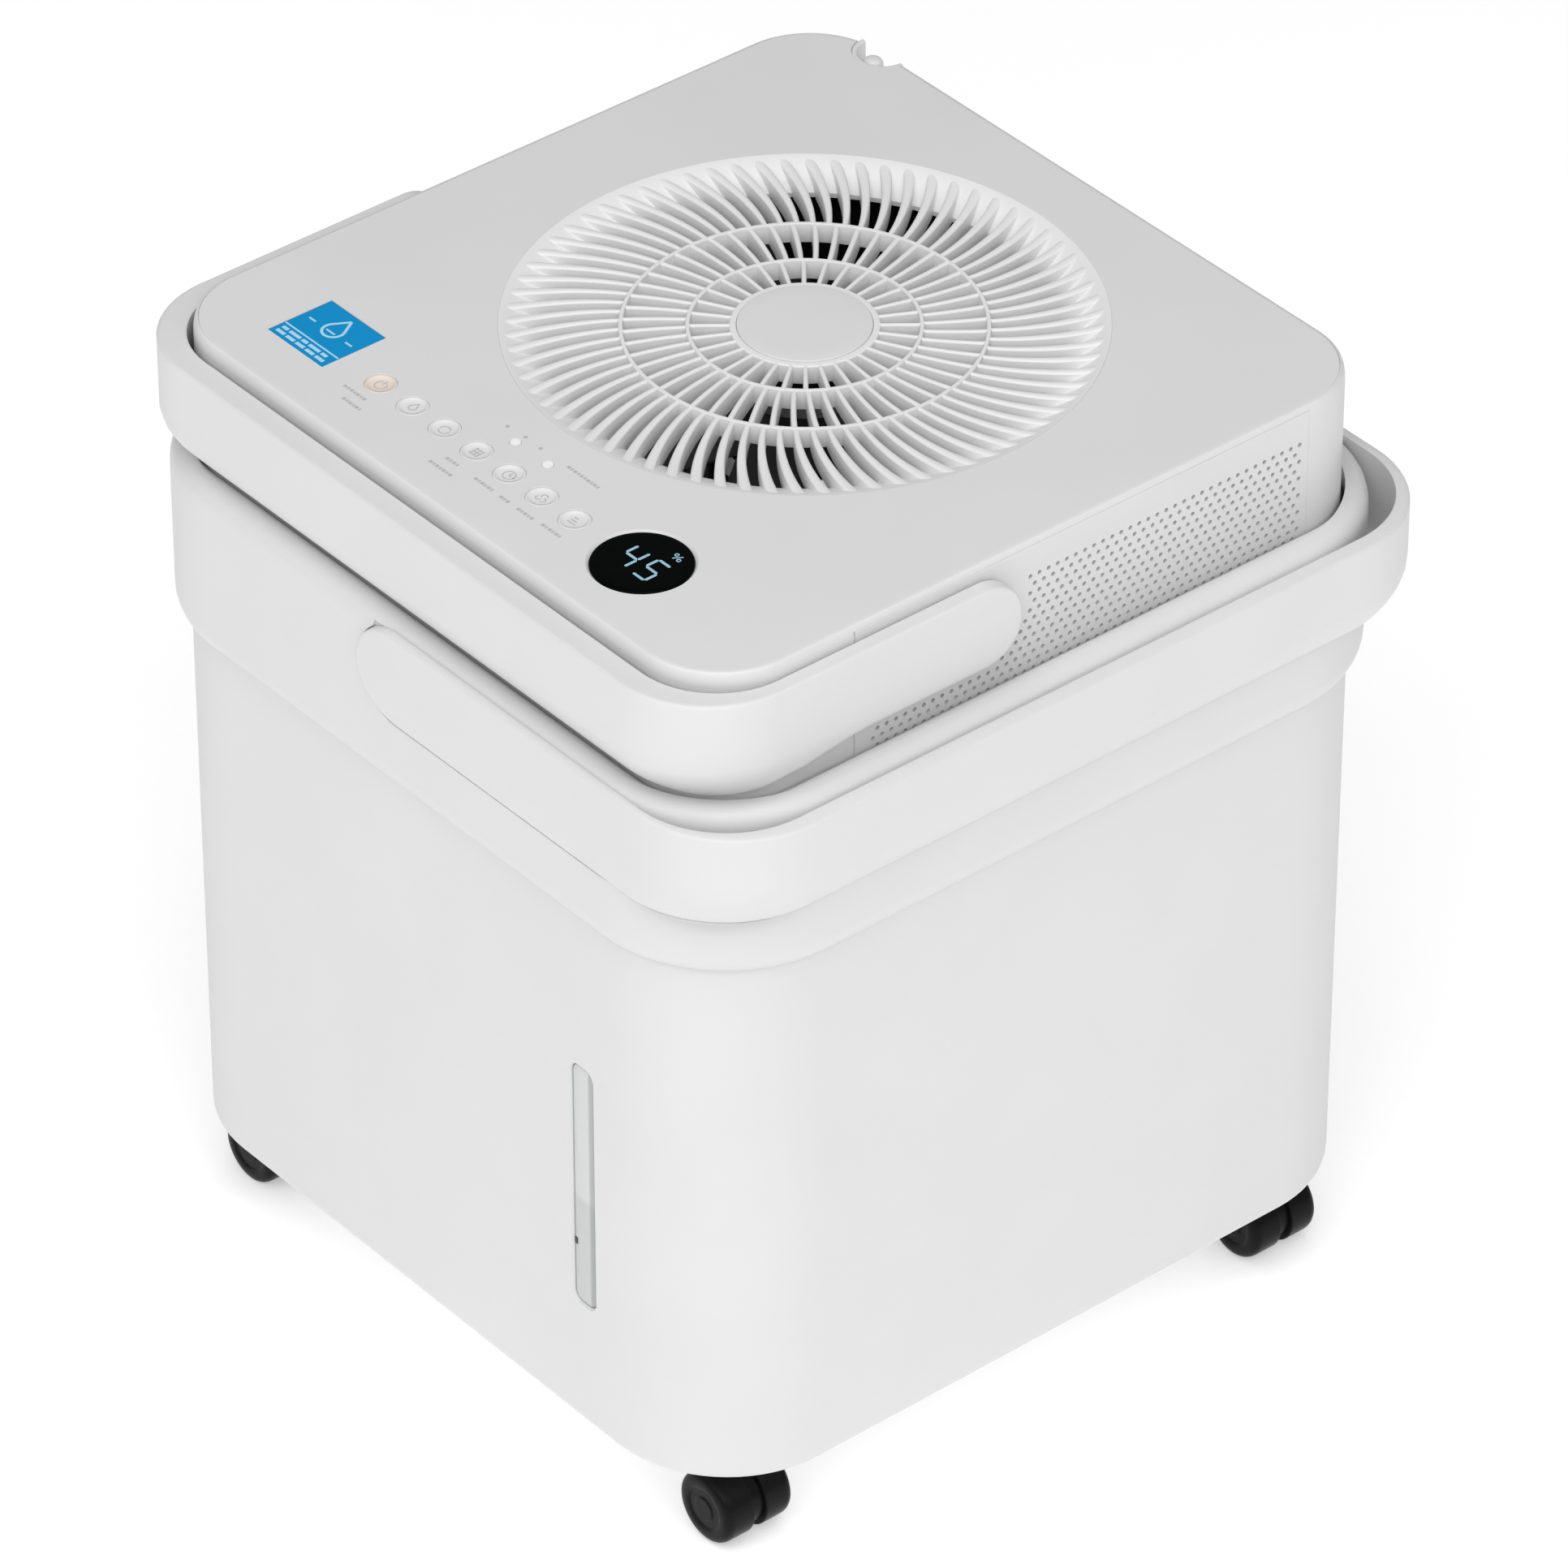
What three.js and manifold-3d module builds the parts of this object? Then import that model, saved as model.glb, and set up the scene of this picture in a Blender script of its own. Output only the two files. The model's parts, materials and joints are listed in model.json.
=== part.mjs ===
// Nesting-cube dehumidifier: a square head unit (fan, coils, controls) that sits down inside a
// square water bucket on four twin-wheel casters. Millimetres, +Z up, the front (control row, water
// window) towards -Y and the air intake towards +X. The origin is on the floor, at the centre of
// the whole object's outline.
import * as THREE from 'three';
import * as BufferGeometryUtils from 'three/addons/utils/BufferGeometryUtils.js';
import Module from 'manifold-3d';

const wasm = await Module();
wasm.setup();

// ---- driving dimensions ----
const HEIGHT = 428;            // floor to the top plate
const GAP = 0.3;               // joint line between neighbouring pieces
const FAR = 240;               // reach of cutters that pass right through
const ARC = 3;                 // curve fineness of rounded corners

// head unit
const HEAD_HALF = 169;         // half width over the side walls
const HEAD_CORNER = 36.5;
const HEAD_BOTTOM = 154;
const HEAD_WALL = 2.5;
const LIP = 2.1;               // width of the wall's rim round the top plate
const PLATE = 3;               // top plate thickness
const HEAD_INNER = HEAD_HALF - HEAD_WALL;
const PLATE_HALF = HEAD_HALF - LIP - GAP;
const PLATE_BOTTOM = HEIGHT - PLATE;

// air outlet in the top plate
const GRILLE_Y = 19;
const GRILLE_R = 119.1;
const GRILLE_FLANGE_R = 124;
const VANE_TOP = HEIGHT - 2.5;
const VANE_BOTTOM = HEIGHT - 10;
const HUB_R = 27.4;
const HUB_CAP_R = 26.4;
// slot rings: inner radius, outer radius, number of slots, twist over the slot's length in degrees
const SLOT_RINGS = [
  { inner: 29, outer: 44.5, count: 32, twist: 0 },
  { inner: 47, outer: 70, count: 52, twist: 0 },
  { inner: 73, outer: 104, count: 72, twist: 7 },
];
const VANE = 2;                // vane thickness

// control row
const BUTTON_NAMES = ['power', 'pump', 'continuous', 'filter', 'timer', 'fan', 'mode'];
const BUTTON_X = -70.9;
const BUTTON_PITCH = 19.82;
const BUTTON_Y = -134.2;
const BUTTON_R = 6.5;
const DISPLAY_X = 85.7;
const DISPLAY_Y = -132.2;
const DISPLAY_R = 20;
const LIGHT_X = [-6.7, 13.1];
const LIGHT_Y = -119.2;
const LIGHT_R = 2.2;
const LABEL = { x: -111.5, y: -129, halfX: 17, halfY: 15.5 };

// air intake in the right wall
const INTAKE = { y0: -98, y1: 130, z0: 170, z1: HEIGHT - 2.5 };

// cord outlet in the back top edge
const NOTCH = { x: -130, y: HEAD_HALF, r: 10.5, wall: 2.2, depth: 12, glandR: 4.4, glandIn: 5.6 };

// handle of the head: bow across the front, pivots on the left and right walls
const HEAD_BAIL = {
  armIn: 169.7, armOut: 176.4, leftExtra: 2.8, radiusIn: 36, radiusOut: 42.5,
  bowIn: 173.7, bowOut: 182.4, foot: 169.7, footOut: 171.6,
  top: 421.8, bend: 390, bottom: 373.8, armBottom: 385,
  pivotY: -39.4, pivotZ: 403.5, endY: -39.4, endZ: 403.4, endR: 18.4,
};

// bucket
const BODY_HALF = 178.4;
const BODY_CORNER = 57;
const COLLAR_HALF = 184.7;
const COLLAR_CORNER = BODY_CORNER + COLLAR_HALF - BODY_HALF;
const COLLAR_BOTTOM = 295;
const RECESS_HALF = 180.9;     // front and back walls behind the arms of the bucket's handle
const RECESS_BOTTOM = 325.6;
const RECESS_MARGIN = 2.2;     // clearance round the arm's round end
const RIM_TOP = 372;
const RIM_INNER = 170.8;
const RIM_LIP = 7;
const BODY_BOTTOM = 42.2;
const BODY_WALL = 3;
const BUCKET_FLOOR = 4;
const LEDGE_TOP = HEAD_BOTTOM - GAP;
const LEDGE_CORNER = 82;

// handle of the bucket: bow across the right side, pivots on the front and back walls
const BUCKET_BAIL = {
  armIn: 183.3, armOut: 187.3, leftExtra: 0, radiusIn: 42, radiusOut: 48,
  bowIn: 188.4, bowOut: 195.9, foot: 185.6, footOut: 187.8,
  top: 372, bend: 346, bottom: 327.9, armBottom: 327.9,
  pivotY: 0, pivotZ: 358, endY: 0, endZ: 349.95, endR: 22.05,
};
const PIN_R = 4;
const PIN_BORE = PIN_R + GAP;

// inside the head: float and guide, drain spout, control board, coils, air filter
const FLOAT = { x: 60, y: -100, stemR: 3, guideR: 8, bodyR: 18 };
const DRAIN = { x: 128, y: 16, outerR: 8, boreR: 6 };
const BOARD = { x0: -84, x1: 112, y0: -156, y1: -107, thick: 1.6, drop: 5.4 };
const COILS = { y0: -96, depth: 222, fins: 24, finDepth: 6, z0: 178 };
const FILTER = { x0: 160.4, x1: 164.4, z0: 178, z1: 392, border: 6, ribHalf: 2, ribY: [-18, 54] };

// water window in the front wall
const WINDOW = { x: 102.6, halfX: 6.4, z0: 103, z1: 220 };

// casters: swivel axis in plan, wheel trailing outwards
const CASTER = { x: 138, y: 139.5, trail: 10, wheelR: 15.8, wheelW: 14, web: 5.2, neckR: 11 };

// centre the outline: the bucket handle stands out on one side only
const SHIFT_X = -(BUCKET_BAIL.bowOut - COLLAR_HALF) / 2;

// ---- shape helpers ----
function toSolid(geometry) {
  const bare = geometry.clone();
  bare.deleteAttribute('normal');
  bare.deleteAttribute('uv');
  const merged = BufferGeometryUtils.mergeVertices(bare, 1e-4);
  return new wasm.Manifold(new wasm.Mesh({
    numProp: 3,
    vertProperties: merged.attributes.position.array,
    triVerts: new Uint32Array(merged.index.array),
  }));
}

function toGeometry(solid) {
  const mesh = solid.getMesh();
  const geometry = new THREE.BufferGeometry();
  geometry.setAttribute('position', new THREE.BufferAttribute(Float32Array.from(mesh.vertProperties), 3));
  geometry.setIndex(new THREE.BufferAttribute(Uint32Array.from(mesh.triVerts), 1));
  geometry.computeVertexNormals();
  return geometry;
}

function cut(base, ...tools) {
  return toGeometry(tools.reduce((solid, tool) => solid.subtract(toSolid(tool)), toSolid(base)));
}

function join(base, ...others) {
  return toGeometry(others.reduce((solid, other) => solid.add(toSolid(other)), toSolid(base)));
}

function common(base, other) {
  return toGeometry(toSolid(base).intersect(toSolid(other)));
}

function roundRect(halfX, halfY, radius) {
  const shape = new THREE.Shape();
  shape.absarc(halfX - radius, halfY - radius, radius, 0, Math.PI / 2);
  shape.absarc(radius - halfX, halfY - radius, radius, Math.PI / 2, Math.PI);
  shape.absarc(radius - halfX, radius - halfY, radius, Math.PI, 1.5 * Math.PI);
  shape.absarc(halfX - radius, radius - halfY, radius, 1.5 * Math.PI, 2 * Math.PI);
  shape.closePath();
  return shape;
}

function prism(shape, z0, z1, fineness = ARC) {
  const geometry = new THREE.ExtrudeGeometry(shape, {
    depth: z1 - z0, bevelEnabled: false, curveSegments: fineness,
  });
  return geometry.translate(0, 0, z0);
}

function squarePrism(half, radius, z0, z1) {
  return prism(roundRect(half, half, radius), z0, z1);
}

function block(x0, x1, y0, y1, z0, z1) {
  const geometry = new THREE.BoxGeometry(x1 - x0, y1 - y0, z1 - z0);
  return geometry.translate((x0 + x1) / 2, (y0 + y1) / 2, (z0 + z1) / 2);
}

// upright cylinder
function post(x, y, radius, z0, z1, sides = 32) {
  const geometry = new THREE.CylinderGeometry(radius, radius, z1 - z0, sides);
  return geometry.rotateX(Math.PI / 2).translate(x, y, (z0 + z1) / 2);
}

// cylinders lying along X and along Y
function rodX(x0, x1, y, z, radius, sides = 24) {
  const geometry = new THREE.CylinderGeometry(radius, radius, x1 - x0, sides);
  return geometry.rotateZ(Math.PI / 2).translate((x0 + x1) / 2, y, z);
}

function rodY(y0, y1, x, z, radius, sides = 24) {
  const geometry = new THREE.CylinderGeometry(radius, radius, y1 - y0, sides);
  return geometry.translate(x, (y0 + y1) / 2, z);
}

// solid of revolution about Z; the profile is a closed list of [radius, z]
function turned(profile, sides = 48) {
  const points = [...profile, profile[0]].map(([radius, z]) => new THREE.Vector2(radius, z));
  return new THREE.LatheGeometry(points, sides).rotateX(Math.PI / 2);
}

const root = new THREE.Group();
root.position.x = SHIFT_X;

function add(name, geometry, look, parent = root) {
  const material = new THREE.MeshStandardMaterial(look);
  const mesh = new THREE.Mesh(geometry, material);
  mesh.name = name;
  parent.add(mesh);
  return mesh;
}

const WHITE = { color: 0xe9e9e8, roughness: 0.45, metalness: 0 };
const WHITE_INNER = { color: 0xdcdcda, roughness: 0.55, metalness: 0 };
const BLACK = { color: 0x2b2b2c, roughness: 0.5, metalness: 0 };
const GLOSS_BLACK = { color: 0x08090a, roughness: 0.08, metalness: 0 };
const STEEL = { color: 0xb9bcc0, roughness: 0.3, metalness: 1 };
const COPPER = { color: 0xb4693b, roughness: 0.35, metalness: 1 };
const ALUMINIUM = { color: 0xc9ccce, roughness: 0.4, metalness: 1 };
const BLUE = { color: 0x1f8fce, roughness: 0.4, metalness: 0 };
const PCB = { color: 0x1e5b34, roughness: 0.5, metalness: 0 };
const CLEAR = { color: 0xb9c4c4, roughness: 0.15, metalness: 0 };
const GREY = { color: 0x9a9c9e, roughness: 0.5, metalness: 0 };
const RUBBER = { color: 0x1d1d1e, roughness: 0.85, metalness: 0 };

// ---- a carrying handle: a U of plastic band, its lower edge drawn in towards the body ----
// Each rail is one U in plan: right arm at x = half, left arm at x = -left, the bow at y = -front.
function railPoints(half, left, front, radius, z) {
  const points = [];
  const back = 40;
  const steps = 8;
  points.push([-left, back, z]);
  points.push([-left, -60, z]);
  for (let i = 0; i <= steps; i += 1) {
    const angle = Math.PI + (i / steps) * Math.PI / 2;
    points.push([
      radius - left + radius * Math.cos(angle), radius - front + radius * Math.sin(angle), z,
    ]);
  }
  for (let i = 0; i <= steps; i += 1) {
    const angle = 1.5 * Math.PI + (i / steps) * Math.PI / 2;
    points.push([
      half - radius + radius * Math.cos(angle), radius - front + radius * Math.sin(angle), z,
    ]);
  }
  points.push([half, -60, z]);
  points.push([half, back, z]);
  return points;
}

// closed skin through a loop of rails, with flat ends
function loft(rails) {
  const stations = rails[0].length;
  const loop = rails.length;
  const positions = rails.flat(2);
  const index = [];
  const at = (rail, station) => (rail % loop) * stations + station;
  for (let rail = 0; rail < loop; rail += 1) {
    for (let station = 0; station < stations - 1; station += 1) {
      const [a, b] = [at(rail, station), at(rail, station + 1)];
      const [c, d] = [at(rail + 1, station), at(rail + 1, station + 1)];
      index.push(a, b, c);
      index.push(b, d, c);
    }
  }
  for (let rail = 1; rail < loop - 1; rail += 1) {
    index.push(at(0, 0), at(rail, 0), at(rail + 1, 0));
    index.push(at(0, stations - 1), at(rail + 1, stations - 1), at(rail, stations - 1));
  }
  const geometry = new THREE.BufferGeometry();
  geometry.setAttribute('position', new THREE.Float32BufferAttribute(positions, 3));
  geometry.setIndex(index);
  return geometry;
}

// side outline of the band: round end at the pivot, lower edge falling towards the bow
function bailOutline(bail) {
  const outline = new THREE.Shape();
  const fall = bail.endY - 1.6 * bail.endR;
  outline.moveTo(-260, bail.bottom);
  outline.lineTo(fall - 70, bail.bottom);
  outline.bezierCurveTo(
    fall - 40, bail.bottom, fall - 30, bail.armBottom, bail.endY, bail.armBottom,
  );
  outline.absarc(bail.endY, bail.endZ, bail.endR, -Math.PI / 2, Math.PI / 2, false);
  outline.lineTo(-260, bail.top);
  outline.closePath();
  const geometry = new THREE.ExtrudeGeometry(outline, {
    depth: 460, bevelEnabled: false, curveSegments: 6,
  });
  // the outline is drawn in (y, z); stand it up and centre it across X
  return geometry.rotateX(Math.PI / 2).rotateZ(Math.PI / 2).translate(-230, 0, 0);
}

function bailBand(bail) {
  const inner = (half, front, z) => railPoints(half, half, front, bail.radiusIn, z);
  const outer = (half, front, z) => railPoints(half, half + bail.leftExtra, front, bail.radiusOut, z);
  const middle = (bail.bend + bail.bottom) / 2;
  const armMiddle = bail.armOut - 0.25 * (bail.armOut - bail.armIn);
  const armFoot = bail.armIn + 0.45 * (bail.armOut - bail.armIn);
  const bowMiddle = bail.bowOut - 0.28 * (bail.bowOut - bail.footOut);
  const rails = [
    inner(bail.armIn, bail.foot, bail.bottom - 0.01),
    outer(armFoot, bail.footOut, bail.bottom - 0.01),
    outer(armMiddle, bowMiddle, middle),
    outer(bail.armOut, bail.bowOut, bail.bend),
    outer(bail.armOut, bail.bowOut, bail.top),
    inner(bail.armIn, bail.bowIn, bail.top),
    inner(bail.armIn, bail.bowIn, bail.bend),
  ];
  return common(loft(rails), bailOutline(bail));
}

function bailWithBores(bail) {
  const depth = bail.armOut - 1.4;
  const right = rodX(bail.armIn - 20, depth, bail.pivotY, bail.pivotZ, PIN_BORE);
  const left = rodX(-depth, 20 - bail.armIn, bail.pivotY, bail.pivotZ, PIN_BORE);
  return cut(bailBand(bail), right, left);
}

// shouldered pivot pin on the side's wall: shank through wall and arm, flange inside the wall
function pivotPin(bail, wallInner, side) {
  const along = (from, to, radius) => rodX(
    Math.min(side * from, side * to), Math.max(side * from, side * to), bail.pivotY, bail.pivotZ, radius,
  );
  const shank = along(wallInner - 4, bail.armOut - 1.4 - GAP, PIN_R);
  return join(shank, along(wallInner - 3, wallInner - GAP, 6.5));
}

// ---- head unit ----
function headShell() {
  const outside = squarePrism(HEAD_HALF, HEAD_CORNER, HEAD_BOTTOM, HEIGHT);
  const inside = squarePrism(HEAD_INNER, HEAD_CORNER - HEAD_WALL, HEAD_BOTTOM - 1, PLATE_BOTTOM - 3);
  const throat = squarePrism(HEAD_INNER - 4.5, HEAD_CORNER - HEAD_WALL - 4.5, PLATE_BOTTOM - 4, HEIGHT + 1);
  const seat = squarePrism(HEAD_HALF - LIP, HEAD_CORNER - LIP, PLATE_BOTTOM - GAP, HEIGHT + 1);
  const { y0, y1, z0, z1 } = INTAKE;
  const opening = block(HEAD_INNER - 10, HEAD_HALF + 1, y0 - GAP, y1 + GAP, z0 - GAP, PLATE_BOTTOM - 3);
  const skinSeat = block(HEAD_HALF - LIP, HEAD_HALF + 1, y0 - GAP, y1 + GAP, z0 - GAP, z1 + GAP);
  const leftBore = rodX(-HEAD_HALF - 1, 1 - HEAD_INNER, HEAD_BAIL.pivotY, HEAD_BAIL.pivotZ, PIN_BORE);
  const notch = post(NOTCH.x, NOTCH.y, NOTCH.r + NOTCH.wall + GAP, HEIGHT - NOTCH.depth - 3 - GAP, HEIGHT + 1);
  return cut(outside, inside, throat, seat, opening, skinSeat, leftBore, notch);
}

function topPlate() {
  const plate = squarePrism(PLATE_HALF, HEAD_CORNER - LIP - GAP, PLATE_BOTTOM, HEIGHT);
  const outlet = post(0, GRILLE_Y, GRILLE_R + GAP, PLATE_BOTTOM - 1, HEIGHT + 1, 60);
  const holes = BUTTON_NAMES.map((name, i) => post(
    BUTTON_X + i * BUTTON_PITCH, BUTTON_Y, BUTTON_R + GAP, PLATE_BOTTOM - 1, HEIGHT + 1, 16,
  ));
  const lights = LIGHT_X.map((x) => post(x, LIGHT_Y, LIGHT_R + GAP, PLATE_BOTTOM - 1, HEIGHT + 1, 10));
  const display = post(DISPLAY_X, DISPLAY_Y, DISPLAY_R + GAP, PLATE_BOTTOM - 1, HEIGHT + 1, 32);
  const { x, y, halfX, halfY } = LABEL;
  const pocket = block(
    x - halfX - GAP, x + halfX + GAP, y - halfY - GAP, y + halfY + GAP, HEIGHT - 0.9, HEIGHT + 1,
  );
  const notch = post(NOTCH.x, NOTCH.y, NOTCH.r + NOTCH.wall + GAP, PLATE_BOTTOM - 1, HEIGHT + 1);
  return cut(plate, outlet, ...holes, ...lights, display, pocket, notch);
}

// one slot between two vanes, as a closed outline round the grille's centre
function slotPath({ inner, outer, count, twist }, number) {
  const pitch = 2 * Math.PI / count;
  const corner = (radius, turn, side) => {
    const half = pitch / 2 - VANE / 2 / radius;
    const angle = number * pitch + THREE.MathUtils.degToRad(turn) + side * half;
    return new THREE.Vector2(radius * Math.cos(angle), radius * Math.sin(angle));
  };
  return new THREE.Path([
    corner(inner, 0, -1), corner(outer, twist, -1), corner(outer, twist, 1), corner(inner, 0, 1),
  ]);
}

function outletGrille() {
  const dish = turned([
    [0, VANE_BOTTOM], [GRILLE_R - 13, VANE_BOTTOM], [GRILLE_FLANGE_R, PLATE_BOTTOM - 3.5],
    [GRILLE_FLANGE_R, PLATE_BOTTOM - GAP], [GRILLE_R, PLATE_BOTTOM - GAP], [GRILLE_R, HEIGHT],
    [GRILLE_R - 0.8, HEIGHT], [105, VANE_TOP], [0, VANE_TOP],
  ], 60);
  const disc = new THREE.Shape();
  disc.absarc(0, 0, GRILLE_FLANGE_R + 4, 0, 2 * Math.PI);
  for (const ring of SLOT_RINGS) {
    for (let number = 0; number < ring.count; number += 1) {
      disc.holes.push(slotPath(ring, number));
    }
  }
  const slots = prism(disc, VANE_BOTTOM - 5, HEIGHT + 5, 18);
  const socket = post(0, 0, 6, VANE_BOTTOM - 1, HEIGHT, 16);
  return cut(common(dish, slots), socket).translate(0, GRILLE_Y, 0);
}

function hubCap() {
  const disc = post(0, GRILLE_Y, HUB_CAP_R, VANE_TOP + GAP, HEIGHT - 0.6, 40);
  return join(disc, post(0, GRILLE_Y, 6 - GAP, VANE_BOTTOM + 1, VANE_TOP + 1, 16));
}

// button cap with a dished top and a keeper flange under the plate
function buttonCap() {
  return turned([
    [0, PLATE_BOTTOM - 3], [BUTTON_R + 1.5, PLATE_BOTTOM - 3], [BUTTON_R + 1.5, PLATE_BOTTOM - 1],
    [BUTTON_R, PLATE_BOTTOM - 1], [BUTTON_R, HEIGHT - 0.2], [BUTTON_R - 0.8, HEIGHT],
    [0, HEIGHT - 1.2],
  ], 16);
}

// light guide: one clear strip under the plate with a tip in each indicator hole
function lightGuide() {
  const strip = block(
    LIGHT_X[0] - 4, LIGHT_X[1] + 4, LIGHT_Y - 3, LIGHT_Y + 3, PLATE_BOTTOM - 2.5, PLATE_BOTTOM - GAP,
  );
  const tips = LIGHT_X.map((x) => post(x, LIGHT_Y, LIGHT_R, PLATE_BOTTOM - 2, HEIGHT - 0.1, 10));
  return join(strip, ...tips);
}

function controlBoard() {
  const top = PLATE_BOTTOM - BOARD.drop;
  const board = block(BOARD.x0, BOARD.x1, BOARD.y0, BOARD.y1, top - BOARD.thick, top);
  const switches = BUTTON_NAMES.map((name, i) => {
    const x = BUTTON_X + i * BUTTON_PITCH;
    return block(x - 3, x + 3, BUTTON_Y - 3, BUTTON_Y + 3, top - 0.5, top + 1.4);
  });
  const relay = block(20, 40, -128, -112, top - 12, top - 1);
  const connector = block(60, 84, -120, -110, top - 9, top - 1);
  return join(board, ...switches, relay, connector);
}

// intake skin: a flat panel with rows of air slots, kept whole round the handle's arm
function intakePanel() {
  const { y0, y1, z0, z1 } = INTAKE;
  const outline = new THREE.Shape();
  outline.moveTo(y0, z0);
  outline.lineTo(y1, z0);
  outline.lineTo(y1, z1);
  outline.lineTo(y0, z1);
  outline.closePath();
  const pitch = 9;
  const slotHeight = 4.5;
  const armZone = HEAD_BAIL.armBottom - 12;
  for (let z = z0 + 8; z + slotHeight < z1 - 12; z += pitch) {
    const start = z + slotHeight > armZone ? 2 : y0 + 9;
    const slot = new THREE.Path();
    slot.moveTo(start, z);
    slot.lineTo(y1 - 4, z);
    slot.lineTo(y1 - 4, z + slotHeight);
    slot.lineTo(start, z + slotHeight);
    slot.closePath();
    outline.holes.push(slot);
  }
  const skin = new THREE.ExtrudeGeometry(outline, { depth: LIP - GAP, bevelEnabled: false });
  skin.rotateX(Math.PI / 2).rotateZ(Math.PI / 2).translate(HEAD_HALF - LIP + GAP, 0, 0);
  const bore = rodX(HEAD_INNER - 3, HEAD_HALF + 1, HEAD_BAIL.pivotY, HEAD_BAIL.pivotZ, PIN_BORE);
  return cut(skin, bore);
}

// shallow cup in the back edge with a round-topped gland for the cord
function cordOutlet() {
  const { x, y, r, wall, depth, glandR, glandIn } = NOTCH;
  const floor = HEIGHT - depth;
  const cup = post(x, y, r + wall, floor - 3, HEIGHT - 0.5);
  const hollow = post(x, y, r, floor, HEIGHT + 1);
  const gland = join(
    post(x, y - glandIn, glandR, floor - 1, HEIGHT - 4, 24),
    post(x, y - glandIn, glandR - 1.2, floor - 1, HEIGHT - 2, 20),
  );
  const behind = block(x - 30, x + 30, y - GAP, y + 40, floor - 10, HEIGHT + 10);
  return cut(join(cut(cup, hollow), gland), behind);
}

function headBase() {
  const plate = squarePrism(HEAD_INNER - GAP, HEAD_CORNER - HEAD_WALL - GAP, HEAD_BOTTOM, HEAD_BOTTOM + 4);
  const { x, y, stemR, guideR } = FLOAT;
  const guide = post(x, y, guideR, HEAD_BOTTOM + 3, HEAD_BOTTOM + 24, 20);
  const guideBore = post(x, y, stemR + 0.6, HEAD_BOTTOM - 1, HEAD_BOTTOM + 25, 20);
  const drain = post(DRAIN.x, DRAIN.y, DRAIN.outerR + 1, HEAD_BOTTOM - 1, HEAD_BOTTOM + 5, 20);
  return cut(join(plate, guide), guideBore, drain);
}

function dripTray() {
  const z0 = HEAD_BOTTOM + 4 + GAP;
  const tray = block(96, 164, -104, 138, z0, z0 + 14);
  const basin = block(98, 162, -102, 136, z0 + 2, z0 + 17);
  const spout = post(DRAIN.x, DRAIN.y, DRAIN.outerR, HEAD_BOTTOM - 8, z0 + 1, 20);
  const bore = post(DRAIN.x, DRAIN.y, DRAIN.boreR, HEAD_BOTTOM - 9, z0 + 3, 20);
  return cut(join(cut(tray, basin), spout), bore);
}

// finned coil: upright fins on a solid core
function finCoil(x0, x1, z1) {
  const { y0, depth, fins, finDepth, z0 } = COILS;
  const outline = new THREE.Shape();
  const pitch = depth / fins;
  outline.moveTo(x0, y0);
  for (let i = 0; i < fins; i += 1) {
    const y = y0 + i * pitch;
    outline.lineTo(x1, y);
    outline.lineTo(x1, y + pitch * 0.5);
    outline.lineTo(x1 - finDepth, y + pitch * 0.5);
    outline.lineTo(x1 - finDepth, y + pitch);
  }
  outline.lineTo(x0, y0 + fins * pitch);
  outline.closePath();
  return prism(outline, z0, z1);
}

function airFilter() {
  const { x0, x1, z0, z1, border, ribHalf, ribY } = FILTER;
  const y0 = INTAKE.y0 + 2;
  const y1 = INTAKE.y1 - 2;
  const sheet = block(x0 + 1.2, x1 - 1.2, y0, y1, z0, z1);
  const frame = cut(
    block(x0, x1, y0, y1, z0, z1),
    block(x0 - 1, x1 + 1, y0 + border, y1 - border, z0 + border, z1 - border),
  );
  const ribs = ribY.map((y) => block(x0, x1, y - ribHalf, y + ribHalf, z0 + 4, z1 - 4));
  return join(frame, sheet, ...ribs);
}

const COMPRESSOR = { x: -98, y: -36, r: 48 };

function compressor() {
  const z0 = HEAD_BOTTOM + 14;
  const can = turned([
    [0, z0], [30, z0], [44, z0 + 6], [COMPRESSOR.r, z0 + 18], [COMPRESSOR.r, z0 + 128],
    [44, z0 + 142], [30, z0 + 150], [0, z0 + 153],
  ], 28).translate(COMPRESSOR.x, COMPRESSOR.y, 0);
  const accumulator = post(COMPRESSOR.x + 8, COMPRESSOR.y + 62, 16, z0 + 20, z0 + 110, 20);
  const strap = block(
    COMPRESSOR.x + 2, COMPRESSOR.x + 14, COMPRESSOR.y + 44, COMPRESSOR.y + 50, z0 + 60, z0 + 74,
  );
  return join(can, accumulator, strap);
}

function compressorMount() {
  const z0 = HEAD_BOTTOM + 4 + GAP;
  const z1 = HEAD_BOTTOM + 14 - GAP;
  return turned([[14, z0], [46, z0], [46, z0 + 4], [38, z1], [14, z1]], 28)
    .translate(COMPRESSOR.x, COMPRESSOR.y, 0);
}

// copper pipe along a smooth route
function pipe(points, radius = 4) {
  const route = new THREE.CatmullRomCurve3(points.map((point) => new THREE.Vector3(...point)));
  const section = new THREE.Shape();
  section.absarc(0, 0, radius, 0, 2 * Math.PI);
  return new THREE.ExtrudeGeometry(section, { steps: 22, extrudePath: route, curveSegments: 4 });
}

const FAN_TOP = VANE_BOTTOM - 7;
const FAN_BOTTOM = FAN_TOP - 32;
const FAN_R = 108;

function fanShroud() {
  const z1 = VANE_BOTTOM - GAP;
  return turned([
    [112, FAN_BOTTOM - 6], [118, FAN_BOTTOM - 10], [121, FAN_BOTTOM - 8], [115, FAN_BOTTOM - 4],
    [115, z1], [112, z1],
  ], 36).translate(0, GRILLE_Y, 0);
}

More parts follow.
